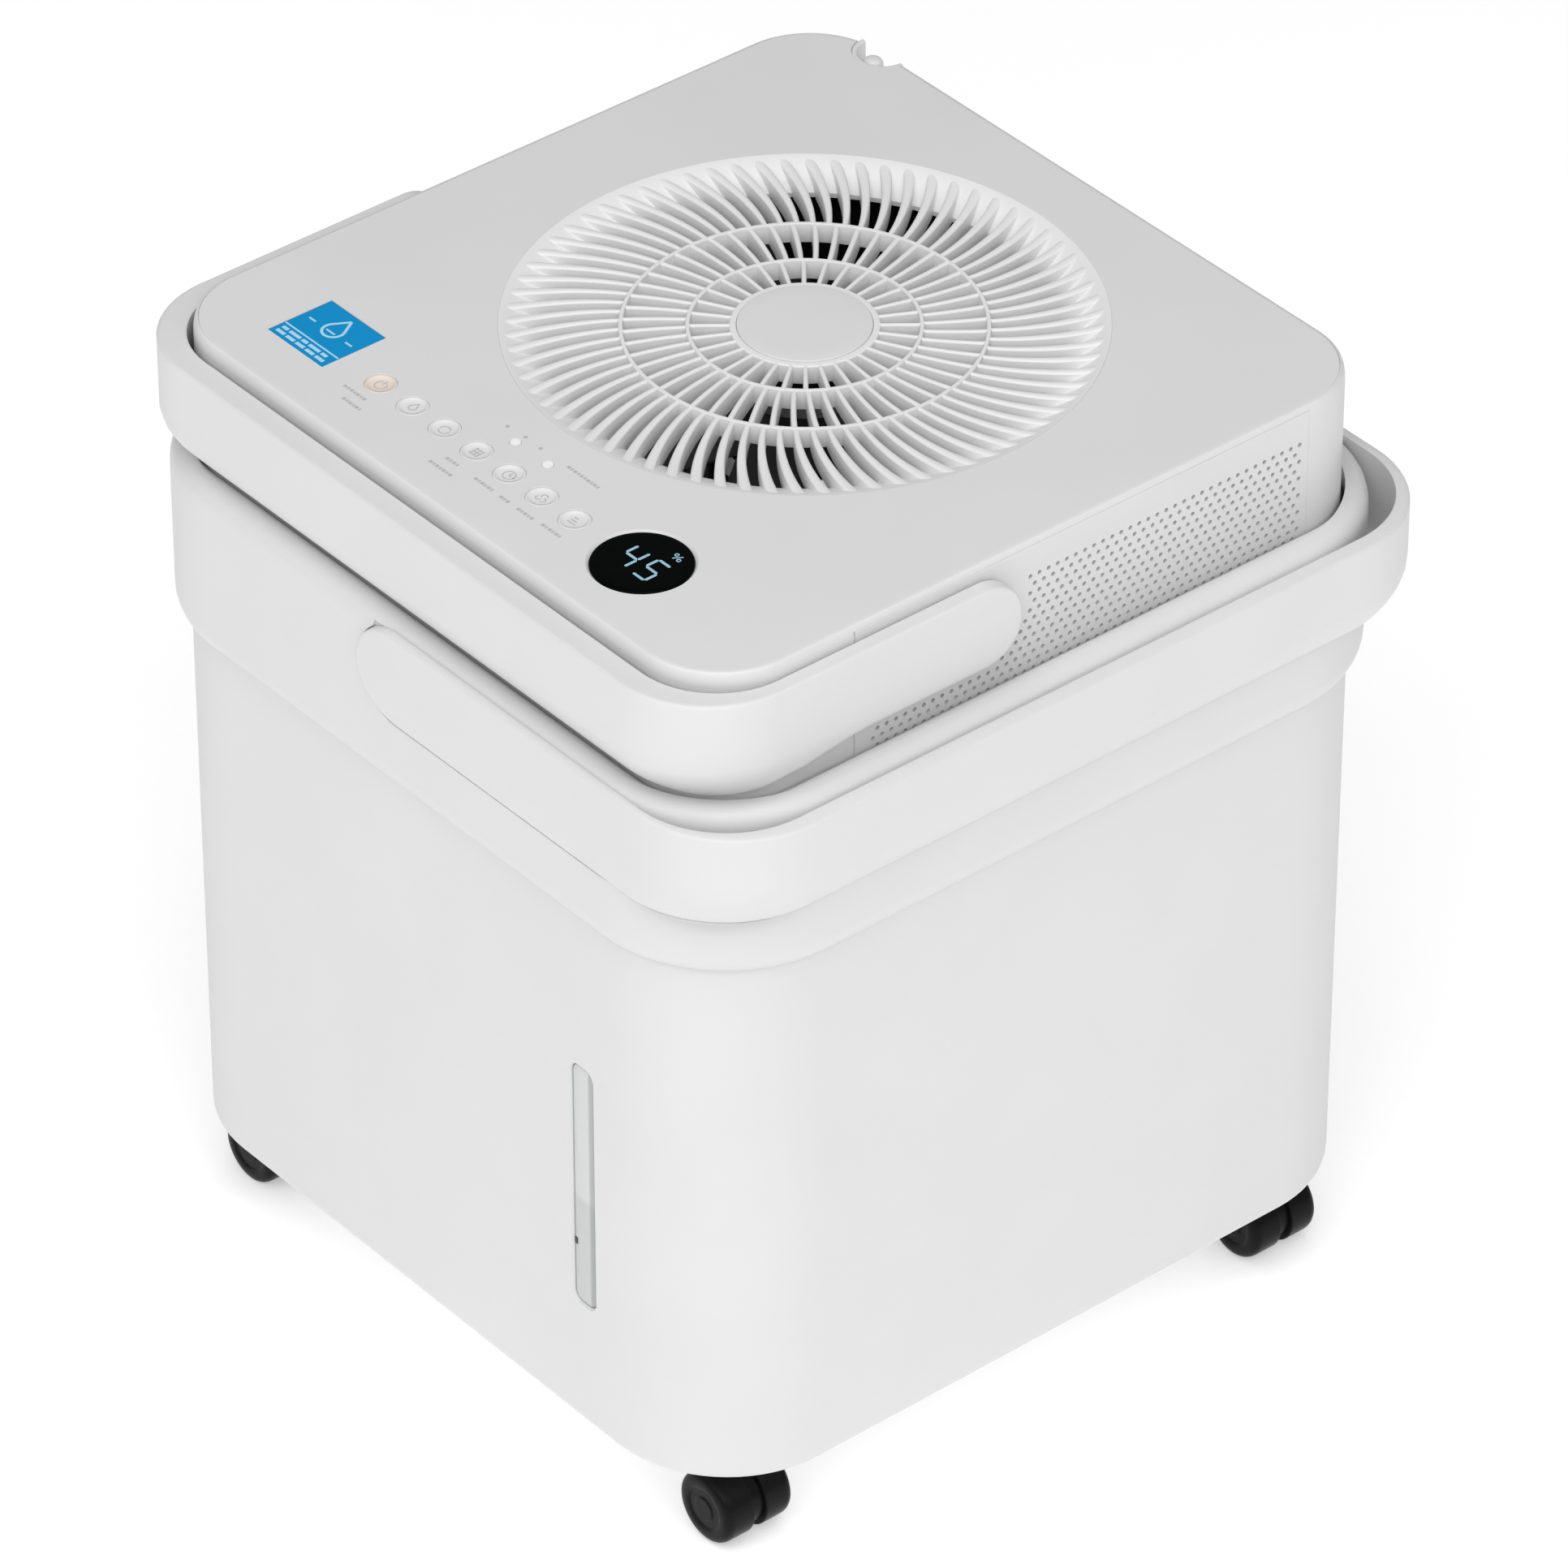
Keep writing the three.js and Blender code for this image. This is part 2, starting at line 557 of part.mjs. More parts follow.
function fanImpeller() {
  const bore = SHAFT_R + GAP;
  const hub = turned([
    [bore, FAN_BOTTOM], [34, FAN_BOTTOM], [34, FAN_TOP - 6], [26, FAN_TOP], [bore, FAN_TOP],
  ], 28);
  const blades = [];
  const count = 7;
  for (let i = 0; i < count; i += 1) {
    const blade = new THREE.BoxGeometry(76, 3, 34);
    blade.rotateX(THREE.MathUtils.degToRad(48)).translate(70, 0, (FAN_TOP + FAN_BOTTOM) / 2);
    blades.push(blade.rotateZ(i * 2 * Math.PI / count));
  }
  const sweep = turned([
    [bore, FAN_BOTTOM], [FAN_R, FAN_BOTTOM], [FAN_R, FAN_TOP], [bore, FAN_TOP],
  ], 36);
  return common(join(hub, ...blades), sweep).translate(0, GRILLE_Y, 0);
}

const MOTOR_TOP = FAN_BOTTOM - 4;
const SHAFT_R = 4;

function fanMotor() {
  const top = MOTOR_TOP;
  const can = turned([[0, top - 44], [34, top - 44], [38, top - 38], [38, top - 4], [33, top], [0, top]], 32);
  return cut(can, post(0, 0, SHAFT_R + GAP, top - 16, top + 1, 20)).translate(0, GRILLE_Y, 0);
}

// turns with the impeller and runs down into the motor
function motorShaft() {
  return post(0, GRILLE_Y, SHAFT_R, MOTOR_TOP - 15, FAN_TOP - 4, 20);
}

function motorBracket() {
  const z1 = FAN_BOTTOM - 48 - GAP;
  const plate = post(0, GRILLE_Y, 46, z1 - 4, z1, 36);
  const arm = block(-16, 16, 1 - HEAD_INNER, HEAD_INNER - 1, z1 - 4, z1);
  const feet = [-1, 1].map((side) => block(
    -16, 16, side > 0 ? HEAD_INNER - 4 : 1 - HEAD_INNER, side > 0 ? HEAD_INNER - 1 : 4 - HEAD_INNER,
    z1 - 24, z1,
  ));
  return join(plate, arm, ...feet);
}

function waterFloat() {
  const { x, y, stemR, bodyR } = FLOAT;
  const z0 = HEAD_BOTTOM - 34;
  const collarZ = HEAD_BOTTOM + 24 + GAP;
  return turned([
    [0, z0], [bodyR - 2, z0], [bodyR, z0 + 3], [bodyR, z0 + 19], [bodyR - 2, z0 + 22], [stemR, z0 + 22],
    [stemR, collarZ], [2 * stemR + 0.5, collarZ], [2 * stemR + 0.5, HEAD_BOTTOM + 27], [0, HEAD_BOTTOM + 27],
  ], 16).translate(x, y, 0);
}

// ---- bucket ----
function bucketShell() {
  const body = squarePrism(BODY_HALF, BODY_CORNER, BODY_BOTTOM, COLLAR_BOTTOM + 1);
  const collar = squarePrism(COLLAR_HALF, COLLAR_CORNER, COLLAR_BOTTOM, RIM_TOP);
  const floorTop = BODY_BOTTOM + BUCKET_FLOOR;
  const inner = BODY_HALF - BODY_WALL;
  const tank = squarePrism(inner, BODY_CORNER - BODY_WALL, floorTop, LEDGE_TOP - 8);
  const ledge = squarePrism(inner, LEDGE_CORNER, LEDGE_TOP - 9, LEDGE_TOP + 1);
  const upper = squarePrism(inner, BODY_CORNER - BODY_WALL, LEDGE_TOP, COLLAR_BOTTOM + 4);
  const wide = squarePrism(RECESS_HALF - 3.7, BODY_CORNER - 5, COLLAR_BOTTOM + 3, RIM_TOP - RIM_LIP);
  const mouth = squarePrism(RIM_INNER, HEAD_CORNER + 1.8, RIM_TOP - RIM_LIP - 1, RIM_TOP + 1);
  return cut(join(body, collar), tank, ledge, upper, wide, mouth, ...handleRecess(), ...bucketHoles());
}

// sunk bands behind the arms of the bucket handle, from the pivots to the right corners
function handleRecess() {
  const { endY, endZ, endR } = BUCKET_BAIL;
  const reach = endR + RECESS_MARGIN;
  const keep = squarePrism(RECESS_HALF, BODY_CORNER - 2, RECESS_BOTTOM - 10, RIM_TOP + 10);
  const keepRight = keep.clone().translate(COLLAR_HALF - RECESS_HALF, 0, 0);
  const zone = block(endY, FAR, -FAR, FAR, RECESS_BOTTOM, RIM_TOP + 5);
  const round = rodY(-FAR, FAR, endY, endZ, reach, 36);
  const above = block(endY - reach, endY + 1, -FAR, FAR, endZ, RIM_TOP + 5);
  return [cut(join(zone, round, above), join(keep, keepRight))];
}

function bucketHoles() {
  const { x, halfX, z0, z1 } = WINDOW;
  const { pivotY, pivotZ } = BUCKET_BAIL;
  const window = block(x - halfX - GAP, x + halfX + GAP, -BODY_HALF - 1, 4 - BODY_HALF, z0 - GAP, z1 + GAP);
  const flangeSeat = block(
    x - halfX - 5, x + halfX + 5, BODY_WALL - BODY_HALF, BODY_WALL + 4 - BODY_HALF, z0 - 5, z1 + 5,
  );
  const bores = [-1, 1].map((side) => rodY(
    side > 0 ? 170 : -200, side > 0 ? 200 : -170, pivotY, pivotZ, PIN_BORE,
  ));
  return [window, flangeSeat, ...bores];
}

// sockets for the caster stems hang in the tank floor
function bucket() {
  const corners = [[-1, -1], [1, -1], [-1, 1], [1, 1]];
  const bosses = corners.map(([sx, sy]) => post(
    sx * CASTER.x, sy * CASTER.y, 9, BODY_BOTTOM + 1, BODY_BOTTOM + 22, 16,
  ));
  const sockets = corners.map(([sx, sy]) => post(
    sx * CASTER.x, sy * CASTER.y, 5.2, BODY_BOTTOM - 1, BODY_BOTTOM + 19, 12,
  ));
  return cut(join(bucketShell(), ...bosses), ...sockets);
}

// clear strip with a flange behind the wall
function waterWindow() {
  const { x, halfX, z0, z1 } = WINDOW;
  const strip = block(x - halfX, x + halfX, 0.5 - BODY_HALF, BODY_WALL + 1.5 - BODY_HALF, z0, z1);
  const flange = block(
    x - halfX - 4, x + halfX + 4, BODY_WALL + GAP - BODY_HALF, BODY_WALL + 2 - BODY_HALF, z0 - 4, z1 + 4,
  );
  return join(strip, flange);
}

// ---- casters ----
function casterStem() {
  return join(
    post(0, 0, 4.9, BODY_BOTTOM + 1, BODY_BOTTOM + 18, 12),
    post(0, 0, 4, 2 * CASTER.wheelR - 1, BODY_BOTTOM + 2, 12),
  );
}

function casterHood() {
  const { trail, wheelR, web, neckR } = CASTER;
  const disc = rodY(-web / 2, web / 2, trail, wheelR, wheelR - 3, 20);
  const capBottom = 2 * wheelR + 1;
  const neck = block(-neckR + 2, trail + 6, -web / 2, web / 2, wheelR, capBottom + 2);
  const cap = post(0, 0, neckR, capBottom, BODY_BOTTOM - GAP, 20);
  const stemBore = post(0, 0, 4 + GAP, capBottom - 3, BODY_BOTTOM + 1, 12);
  const axleBore = rodY(-web, web, trail, wheelR, 2.5 + GAP, 12);
  return cut(join(disc, neck, cap), stemBore, axleBore);
}

function casterWheel(side) {
  const { trail, wheelR, wheelW, web } = CASTER;
  const near = web / 2 + GAP;
  const far = near + wheelW;
  const tread = new THREE.LatheGeometry([
    [2.5 + GAP, near], [wheelR, near], [wheelR, far - 2.4],
    [wheelR - 2.4, far], [2.5 + GAP, far], [2.5 + GAP, near],
  ].map(([radius, along]) => new THREE.Vector2(radius, along)), 24);
  if (side < 0) {
    tread.rotateX(Math.PI);
  }
  return tread.translate(trail, 0, wheelR);
}

function caster(name, sx, sy) {
  const { x, y, trail, wheelR, wheelW, web } = CASTER;
  const group = new THREE.Group();
  group.position.set(sx * x, sy * y, 0);
  group.rotation.z = sx < 0 ? Math.PI : 0;
  const reach = web / 2 + wheelW - 1;
  add(`caster_${name}_stem`, casterStem(), STEEL, group);
  add(`caster_${name}_hood`, casterHood(), BLACK, group);
  add(`caster_${name}_axle`, rodY(-reach, reach, trail, wheelR, 2.5, 12), STEEL, group);
  add(`caster_${name}_wheel_a`, casterWheel(-1), BLACK, group);
  add(`caster_${name}_wheel_b`, casterWheel(1), BLACK, group);
  root.add(group);
}

// ---- assembly ----
add('bucket', bucket(), WHITE);
add('water_window', waterWindow(), CLEAR);
add('bucket_handle', bailWithBores(BUCKET_BAIL).rotateZ(Math.PI / 2), WHITE);
const bucketPin = (side) => pivotPin(BUCKET_BAIL, RECESS_HALF - 3.7, side).rotateZ(Math.PI / 2);
add('bucket_handle_pin_back', bucketPin(1), STEEL);
add('bucket_handle_pin_front', bucketPin(-1), STEEL);

add('head_shell', headShell(), WHITE);
add('top_panel', topPlate(), WHITE);
add('outlet_grille', outletGrille(), WHITE);
add('grille_hub_cap', hubCap(), WHITE);
BUTTON_NAMES.forEach((name, i) => {
  const cap = buttonCap().translate(BUTTON_X + i * BUTTON_PITCH, BUTTON_Y, 0);
  add(`button_${name}`, cap, WHITE);
});
add('display_lens', post(DISPLAY_X, DISPLAY_Y, DISPLAY_R, PLATE_BOTTOM - 1, HEIGHT - 0.1, 32), GLOSS_BLACK);
add('indicator_light_guide', lightGuide(), CLEAR);
add('control_board', controlBoard(), PCB);
add('info_label', block(
  LABEL.x - LABEL.halfX, LABEL.x + LABEL.halfX, LABEL.y - LABEL.halfY, LABEL.y + LABEL.halfY,
  HEIGHT - 0.6, HEIGHT,
), BLUE);
add('intake_panel', intakePanel(), WHITE);
add('air_filter', airFilter(), GREY);
add('cord_outlet', cordOutlet(), WHITE_INNER);
add('head_handle', bailWithBores(HEAD_BAIL), WHITE);
add('head_handle_pin_right', pivotPin(HEAD_BAIL, HEAD_INNER, 1), STEEL);
add('head_handle_pin_left', pivotPin(HEAD_BAIL, HEAD_INNER, -1), STEEL);

add('head_base', headBase(), WHITE_INNER);
add('drip_tray', dripTray(), WHITE_INNER);
add('evaporator_coil', finCoil(134, 158, 398), ALUMINIUM);
add('condenser_coil', finCoil(104, 130, 360), ALUMINIUM);
add('compressor', compressor(), BLACK);
add('compressor_mount', compressorMount(), RUBBER);
add('discharge_pipe', pipe([
  [-49.6, -36, 199], [-30, -36, 199], [10, -50, 202], [55, -66, 234], [80, -68, 246], [103.7, -68, 246],
]), COPPER);
add('suction_pipe', pipe([
  [-98, -84.4, 280], [-98, -104, 280], [-80, -130, 282], [0, -140, 284], [110, -138, 284],
  [144, -124, 284], [146, -96.4, 284],
]), COPPER);
add('fan_shroud', fanShroud(), BLACK);
add('fan_impeller', fanImpeller(), GREY);
add('fan_motor', fanMotor(), STEEL);
add('motor_shaft', motorShaft(), STEEL);
add('motor_bracket', motorBracket(), STEEL);
add('water_float', waterFloat(), GREY);

caster('front_left', -1, -1);
caster('front_right', 1, -1);
caster('back_left', -1, 1);
caster('back_right', 1, 1);

export default root;
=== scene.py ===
# Visual model of a nesting-cube dehumidifier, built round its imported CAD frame.
# Shapes are worked out in millimetres, with x measured from the square body's centre line.
import json
import math

import bmesh
import bpy
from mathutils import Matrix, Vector

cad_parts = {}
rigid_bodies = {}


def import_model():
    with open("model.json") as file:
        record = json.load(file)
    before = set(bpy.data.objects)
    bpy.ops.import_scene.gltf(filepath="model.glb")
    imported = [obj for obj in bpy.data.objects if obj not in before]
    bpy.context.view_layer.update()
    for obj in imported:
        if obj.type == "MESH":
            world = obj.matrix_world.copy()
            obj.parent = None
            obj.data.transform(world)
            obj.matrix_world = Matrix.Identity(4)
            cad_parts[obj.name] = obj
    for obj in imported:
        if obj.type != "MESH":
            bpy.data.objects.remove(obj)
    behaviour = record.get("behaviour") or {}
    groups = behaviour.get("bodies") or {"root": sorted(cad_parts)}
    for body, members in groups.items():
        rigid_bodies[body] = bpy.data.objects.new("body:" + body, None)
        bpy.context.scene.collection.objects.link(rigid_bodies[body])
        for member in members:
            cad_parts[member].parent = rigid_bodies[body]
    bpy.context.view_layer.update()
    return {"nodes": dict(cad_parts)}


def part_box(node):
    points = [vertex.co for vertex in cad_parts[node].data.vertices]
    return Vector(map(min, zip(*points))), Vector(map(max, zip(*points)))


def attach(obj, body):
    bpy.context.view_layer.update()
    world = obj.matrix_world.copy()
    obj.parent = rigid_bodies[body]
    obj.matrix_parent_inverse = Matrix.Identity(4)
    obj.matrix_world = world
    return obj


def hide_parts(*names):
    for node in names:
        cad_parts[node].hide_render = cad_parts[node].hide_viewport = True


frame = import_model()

MM = 0.001
BUTTONS = ["power", "pump", "continuous", "filter", "timer", "fan", "mode"]
CASTERS = {"front_left": (-1, -1), "front_right": (1, -1), "back_left": (-1, 1), "back_right": (1, 1)}

shell_low, shell_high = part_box("head_shell")
CENTRE_X = (shell_low.x + shell_high.x) / 2


def limits(node):
    """Lowest and highest corner of a CAD node, in millimetres from the body's centre line."""
    shift = Vector((CENTRE_X, 0, 0))
    low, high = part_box(node)
    return (low - shift) / MM, (high - shift) / MM


def middle(node):
    low, high = limits(node)
    return (low + high) / 2


# ---- sizes taken from the frame, and the details that only the looks need ----
TOP = limits("top_panel")[1].z
HEAD_HALF = limits("head_shell")[1].x
HEAD_BOTTOM = limits("head_shell")[0].z
HEAD_CORNER = 36.5
LIP = 2.1
SHOULDER_IN, SHOULDER_DOWN = 1.9, 6.0
NOTCH_R = 13.0
PLATE_HALF = HEAD_HALF - LIP - 0.06
PLATE_BOTTOM = limits("top_panel")[0].z

GRILLE = middle("outlet_grille")
GRILLE_BOTTOM = limits("outlet_grille")[0].z
BOWL_R = 119.1
HUB_R = 26.6
VANE_TOP = TOP - 1.6
VANE_BOTTOM = TOP - 10
RING_R = (45.6, 71.6)

DISPLAY = middle("display_lens")
DISPLAY_R = limits("display_lens")[1].x - DISPLAY.x
LABEL = middle("info_label")
LIGHT_X = (-6.7, 13.1)
PRINT = 0.12
INTAKE_LOW, INTAKE_HIGH = limits("intake_panel")

BUCKET_BOTTOM = limits("bucket")[0].z
RIM_TOP = limits("bucket")[1].z
COLLAR_HALF = limits("bucket")[1].y
BODY_HALF = COLLAR_HALF - 6.3
COLLAR_BOTTOM = 294.5
COLLAR_FULL = 306
SWELL_START = 20    # degrees into the quarter turn where the collar's lower curve begins
BUCKET_CORNER = 57
RECESS_HALF = 182.6
RECESS_BOTTOM = 327.5
RECESS_SHIFT = 4.0
RECESS_END = -14.6  # x of the recess's upright edge, beside the handle's round end
RIM_INNER = 170.8
TANK_HALF = BODY_HALF - 3
LEDGE_TOP = HEAD_BOTTOM - 0.3
LEDGE_CORNER = 53
LEDGE_CURVE = 81

WINDOW = middle("water_window")
WINDOW_HALF = 6.4
WINDOW_CORNER = 4.2
WATERLINE = 153
LEVEL_MARK = (130.5, 133.5)

PIN_BORE = 4.3
CORNER_STEPS = 18


# ---- meshes from points ----
def add_object(name, data):
    obj = bpy.data.objects.new(name, data)
    bpy.context.scene.collection.objects.link(obj)
    return obj


class Shape:
    """Points and faces in millimetres, gathered before they become one object."""

    def __init__(self):
        self.points = []
        self.faces = []

    def add(self, points, faces):
        start = len(self.points)
        self.points += [tuple(point) for point in points]
        self.faces += [tuple(start + i for i in face) for face in faces]
        return self

    def loft(self, rings, wrap=False):
        """Skin through rings of equal length, capped at both ends or wrapped from last ring to first."""
        count = len(rings[0])
        faces = []
        for r in range(len(rings) - (0 if wrap else 1)):
            a, b = r * count, (r + 1) % len(rings) * count
            for i in range(count):
                j = (i + 1) % count
                faces.append((a + i, a + j, b + j, b + i))
        if not wrap:
            faces.append(tuple(reversed(range(count))))
            faces.append(tuple((len(rings) - 1) * count + i for i in range(count)))
        return self.add([point for ring in rings for point in ring], faces)

    def moved(self, x=0.0, y=0.0, z=0.0):
        self.points = [(p[0] + x, p[1] + y, p[2] + z) for p in self.points]
        return self

    def turned(self, angle, axis="Z"):
        a, b = {"X": (1, 2), "Y": (2, 0), "Z": (0, 1)}[axis]
        cos, sin = math.cos(angle), math.sin(angle)
        out = []
        for point in self.points:
            p = list(point)
            p[a], p[b] = cos * point[a] - sin * point[b], sin * point[a] + cos * point[b]
            out.append(tuple(p))
        self.points = out
        return self

    def widened(self, factor):
        self.points = [(p[0] * factor, p[1] * factor, p[2]) for p in self.points]
        return self

    def merge(self, *others):
        for other in others:
            self.add(other.points, other.faces)
        return self

    def build(self, name="tool"):
        mesh = bpy.data.meshes.new(name)
        mesh.from_pydata([(x * MM + CENTRE_X, y * MM, z * MM) for x, y, z in self.points], [], self.faces)
        work = bmesh.new()
        work.from_mesh(mesh)
        bmesh.ops.remove_doubles(work, verts=work.verts, dist=2e-6)
        bmesh.ops.recalc_face_normals(work, faces=work.faces)
        work.to_mesh(mesh)
        work.free()
        return add_object(name, mesh)


def square_ring(half, radius, z):
    """Points round a rounded square, anticlockwise seen from above."""
    ring = []
    for quarter in range(4):
        cx = (half - radius) * (1, -1, -1, 1)[quarter]
        cy = (half - radius) * (1, 1, -1, -1)[quarter]
        for i in range(CORNER_STEPS + 1):
            angle = (quarter + i / CORNER_STEPS) * math.pi / 2
            ring.append((cx + radius * math.cos(angle), cy + radius * math.sin(angle), z))
    return ring


def box_ring(x0, x1, y0, y1, z):
    return [(x0, y0, z), (x1, y0, z), (x1, y1, z), (x0, y1, z)]


def block(x0, x1, y0, y1, z0, z1):
    return Shape().loft([box_ring(x0, x1, y0, y1, z0), box_ring(x0, x1, y0, y1, z1)])


def circle(radius, z, sides, x=0.0, y=0.0):
    turns = [2 * math.pi * i / sides for i in range(sides)]
    return [(x + radius * math.cos(t), y + radius * math.sin(t), z) for t in turns]


def lathe(profile, sides=64, x=0.0, y=0.0, wrap=False):
    """Solid of revolution about an upright axis; the profile is a list of (radius, z)."""
    return Shape().loft([circle(max(r, 1e-3), z, sides, x, y) for r, z in profile], wrap)


def cylinder(radius, low, high, sides, x, y):
    return lathe([(radius, low), (radius, high)], sides, x, y)


def bore(radius, reach, axis, at):
    """Lying cylinder through the point at; turned about X it lies along y, about Y along x."""
    return cylinder(radius, -reach, reach, 32, 0, 0).turned(math.pi / 2, axis).moved(*at)


def rounded(corners, steps=5):
    """Polyline with its corners rounded; corners are (across, up, radius)."""
    out = []
    for i, (x, z, radius) in enumerate(corners):
        if radius <= 0 or i in (0, len(corners) - 1):
            out.append((x, z))
            continue
        here = Vector((x, z))
        before = (Vector(corners[i - 1][:2]) - here).normalized()
        after = (Vector(corners[i + 1][:2]) - here).normalized()
        start, end = here + before * radius, here + after * radius
        for k in range(steps + 1):
            t = k / steps
            point = start * (1 - t) ** 2 + here * 2 * t * (1 - t) + end * t ** 2
            out.append((point.x, point.y))
    return out


def head_loft(profile, wrap=False):
    """Body with the head's rounded-square outline; the profile is a list of (half width, z)."""
    rings = [square_ring(half, HEAD_CORNER + (half - HEAD_HALF), z) for half, z in profile]
    return Shape().loft(rings, wrap)


def combine(obj, tools, operation="DIFFERENCE"):
    """Cuts the tools out of obj, or joins them to it, and removes the tools."""
    group = bpy.data.collections.new("tools")
    for tool in tools:
        bpy.context.scene.collection.objects.unlink(tool)
        group.objects.link(tool)
    modifier = obj.modifiers.new("combine", "BOOLEAN")
    modifier.operation = operation
    modifier.operand_type = "COLLECTION"
    modifier.collection = group
    modifier.solver = "EXACT"
    modifier.use_self = True
    settle(obj)
    for tool in list(group.objects):
        bpy.data.objects.remove(tool)
    bpy.data.collections.remove(group)
    return obj


def settle(obj):
    """Applies the modifiers of obj."""
    graph = bpy.context.evaluated_depsgraph_get()
    mesh = bpy.data.meshes.new_from_object(obj.evaluated_get(graph))
    old = obj.data
    obj.modifiers.clear()
    obj.data = mesh
    bpy.data.meshes.remove(old)
    return obj


def finish_piece(obj, name, material, body, nodes, sharp=35):
    """Names obj, shades it, gives it its material and body, and hides the CAD nodes it stands for."""
    obj.name = name
    obj.data.name = name
    obj.data.materials.clear()
    obj.data.materials.append(material)
    obj.data.shade_smooth()
    obj.data.set_sharp_from_angle(angle=math.radians(sharp))
    weighted = obj.modifiers.new("flat faces stay flat", "WEIGHTED_NORMAL")
    weighted.keep_sharp = True
    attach(obj, body)
    if nodes:
        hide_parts(*nodes)


# ---- materials ----
def new_material(name, color, roughness, metallic=0.0):
    material = bpy.data.materials.new(name)
    material.use_nodes = True
    shader = material.node_tree.nodes["Principled BSDF"]
    shader.inputs["Base Color"].default_value = (*color, 1)
    shader.inputs["Roughness"].default_value = roughness
    shader.inputs["Metallic"].default_value = metallic
    return material, shader


def add_node(material, kind, **values):
    made = material.node_tree.nodes.new(kind)
    for key, value in values.items():
        if key in made.inputs:
            made.inputs[key].default_value = value
        else:
            setattr(made, key, value)
    return made


def wire(material, source, output, target, socket):
    material.node_tree.links.new(source.outputs[output], target.inputs[socket])


def use_object_space(material, target):
    """Object coordinates, in metres, so that a pattern keeps its real size."""
    source = add_node(material, "ShaderNodeTexCoord")
    wire(material, source, "Object", target, "Vector")


def noise(material, size, detail=3.0):
    """Noise whose features are about size millimetres across."""
    made = add_node(material, "ShaderNodeTexNoise", Scale=1 / (size * MM), Detail=detail)
    use_object_space(material, made)
    return made


def tint(material, shader, color, spread, size=60.0):
    """Faint uneven colour, as moulded plastic and cast metal have."""
    pattern = noise(material, size)
    ramp = add_node(material, "ShaderNodeValToRGB")
    ramp.color_ramp.elements[0].position = 0.3
    ramp.color_ramp.elements[1].position = 0.7
    ramp.color_ramp.elements[0].color = (*[c * (1 - spread) for c in color], 1)
    ramp.color_ramp.elements[1].color = (*[min(1, c * (1 + spread)) for c in color], 1)
    wire(material, pattern, "Fac", ramp, "Fac")
    wire(material, ramp, "Color", shader, "Base Color")


def uneven_gloss(material, shader, low, high, size=8.0):
    pattern = noise(material, size)
    scale = add_node(material, "ShaderNodeMapRange")
    scale.inputs["To Min"].default_value = low
    scale.inputs["To Max"].default_value = high
    wire(material, pattern, "Fac", scale, "Value")
    wire(material, scale, "Result", shader, "Roughness")


def relief(material, shader, pattern, strength, depth):
    bump = add_node(material, "ShaderNodeBump", Strength=strength, Distance=depth * MM)
    wire(material, pattern, "Fac", bump, "Height")
    wire(material, bump, "Normal", shader, "Normal")


def plastic(name, color, roughness=0.42, grain=0.5, strength=0.12, spread=0.012, shine=0.5):
    material, shader = new_material(name, color, roughness)
    shader.inputs["Specular IOR Level"].default_value = shine
    tint(material, shader, color, spread)
    uneven_gloss(material, shader, roughness - 0.05, roughness + 0.06)
    relief(material, shader, noise(material, grain, 2.0), strength, 0.05)
    return material


def metal(name, color):
    roughness = 0.3
    material, shader = new_material(name, color, roughness, 1.0)
    tint(material, shader, color, 0.06, 20.0)
    uneven_gloss(material, shader, roughness - 0.08, roughness + 0.1, 3.0)
    relief(material, shader, noise(material, 0.4), 0.15, 0.04)
    return material


def banded(name, color, roughness, pitch, axis, strength, metallic=1.0):
    """Fine parallel ridges, as on fins or a pleated filter."""
    material, shader = new_material(name, color, roughness, metallic)
    tint(material, shader, color, 0.05, 25.0)
    waves = add_node(material, "ShaderNodeTexWave", Scale=math.pi / 10 / (pitch * MM))
    waves.bands_direction = axis
    use_object_space(material, waves)
    relief(material, shader, waves, strength, 0.3)
    return material


def lens_material():
    black = (0.001, 0.0015, 0.0015)
    material, shader = new_material("gloss_black_lens", black, 0.06)
    tint(material, shader, black, 0.3, 12.0)
    uneven_gloss(material, shader, 0.05, 0.09, 5.0)
    shader.inputs["Specular IOR Level"].default_value = 0.04
    return material


def lit_material(name, color, strength):
    material, shader = new_material(name, color, 0.4)
    tint(material, shader, color, 0.08, 3.0)
    shader.inputs["Emission Color"].default_value = (*color, 1)
    shader.inputs["Emission Strength"].default_value = strength
    return material


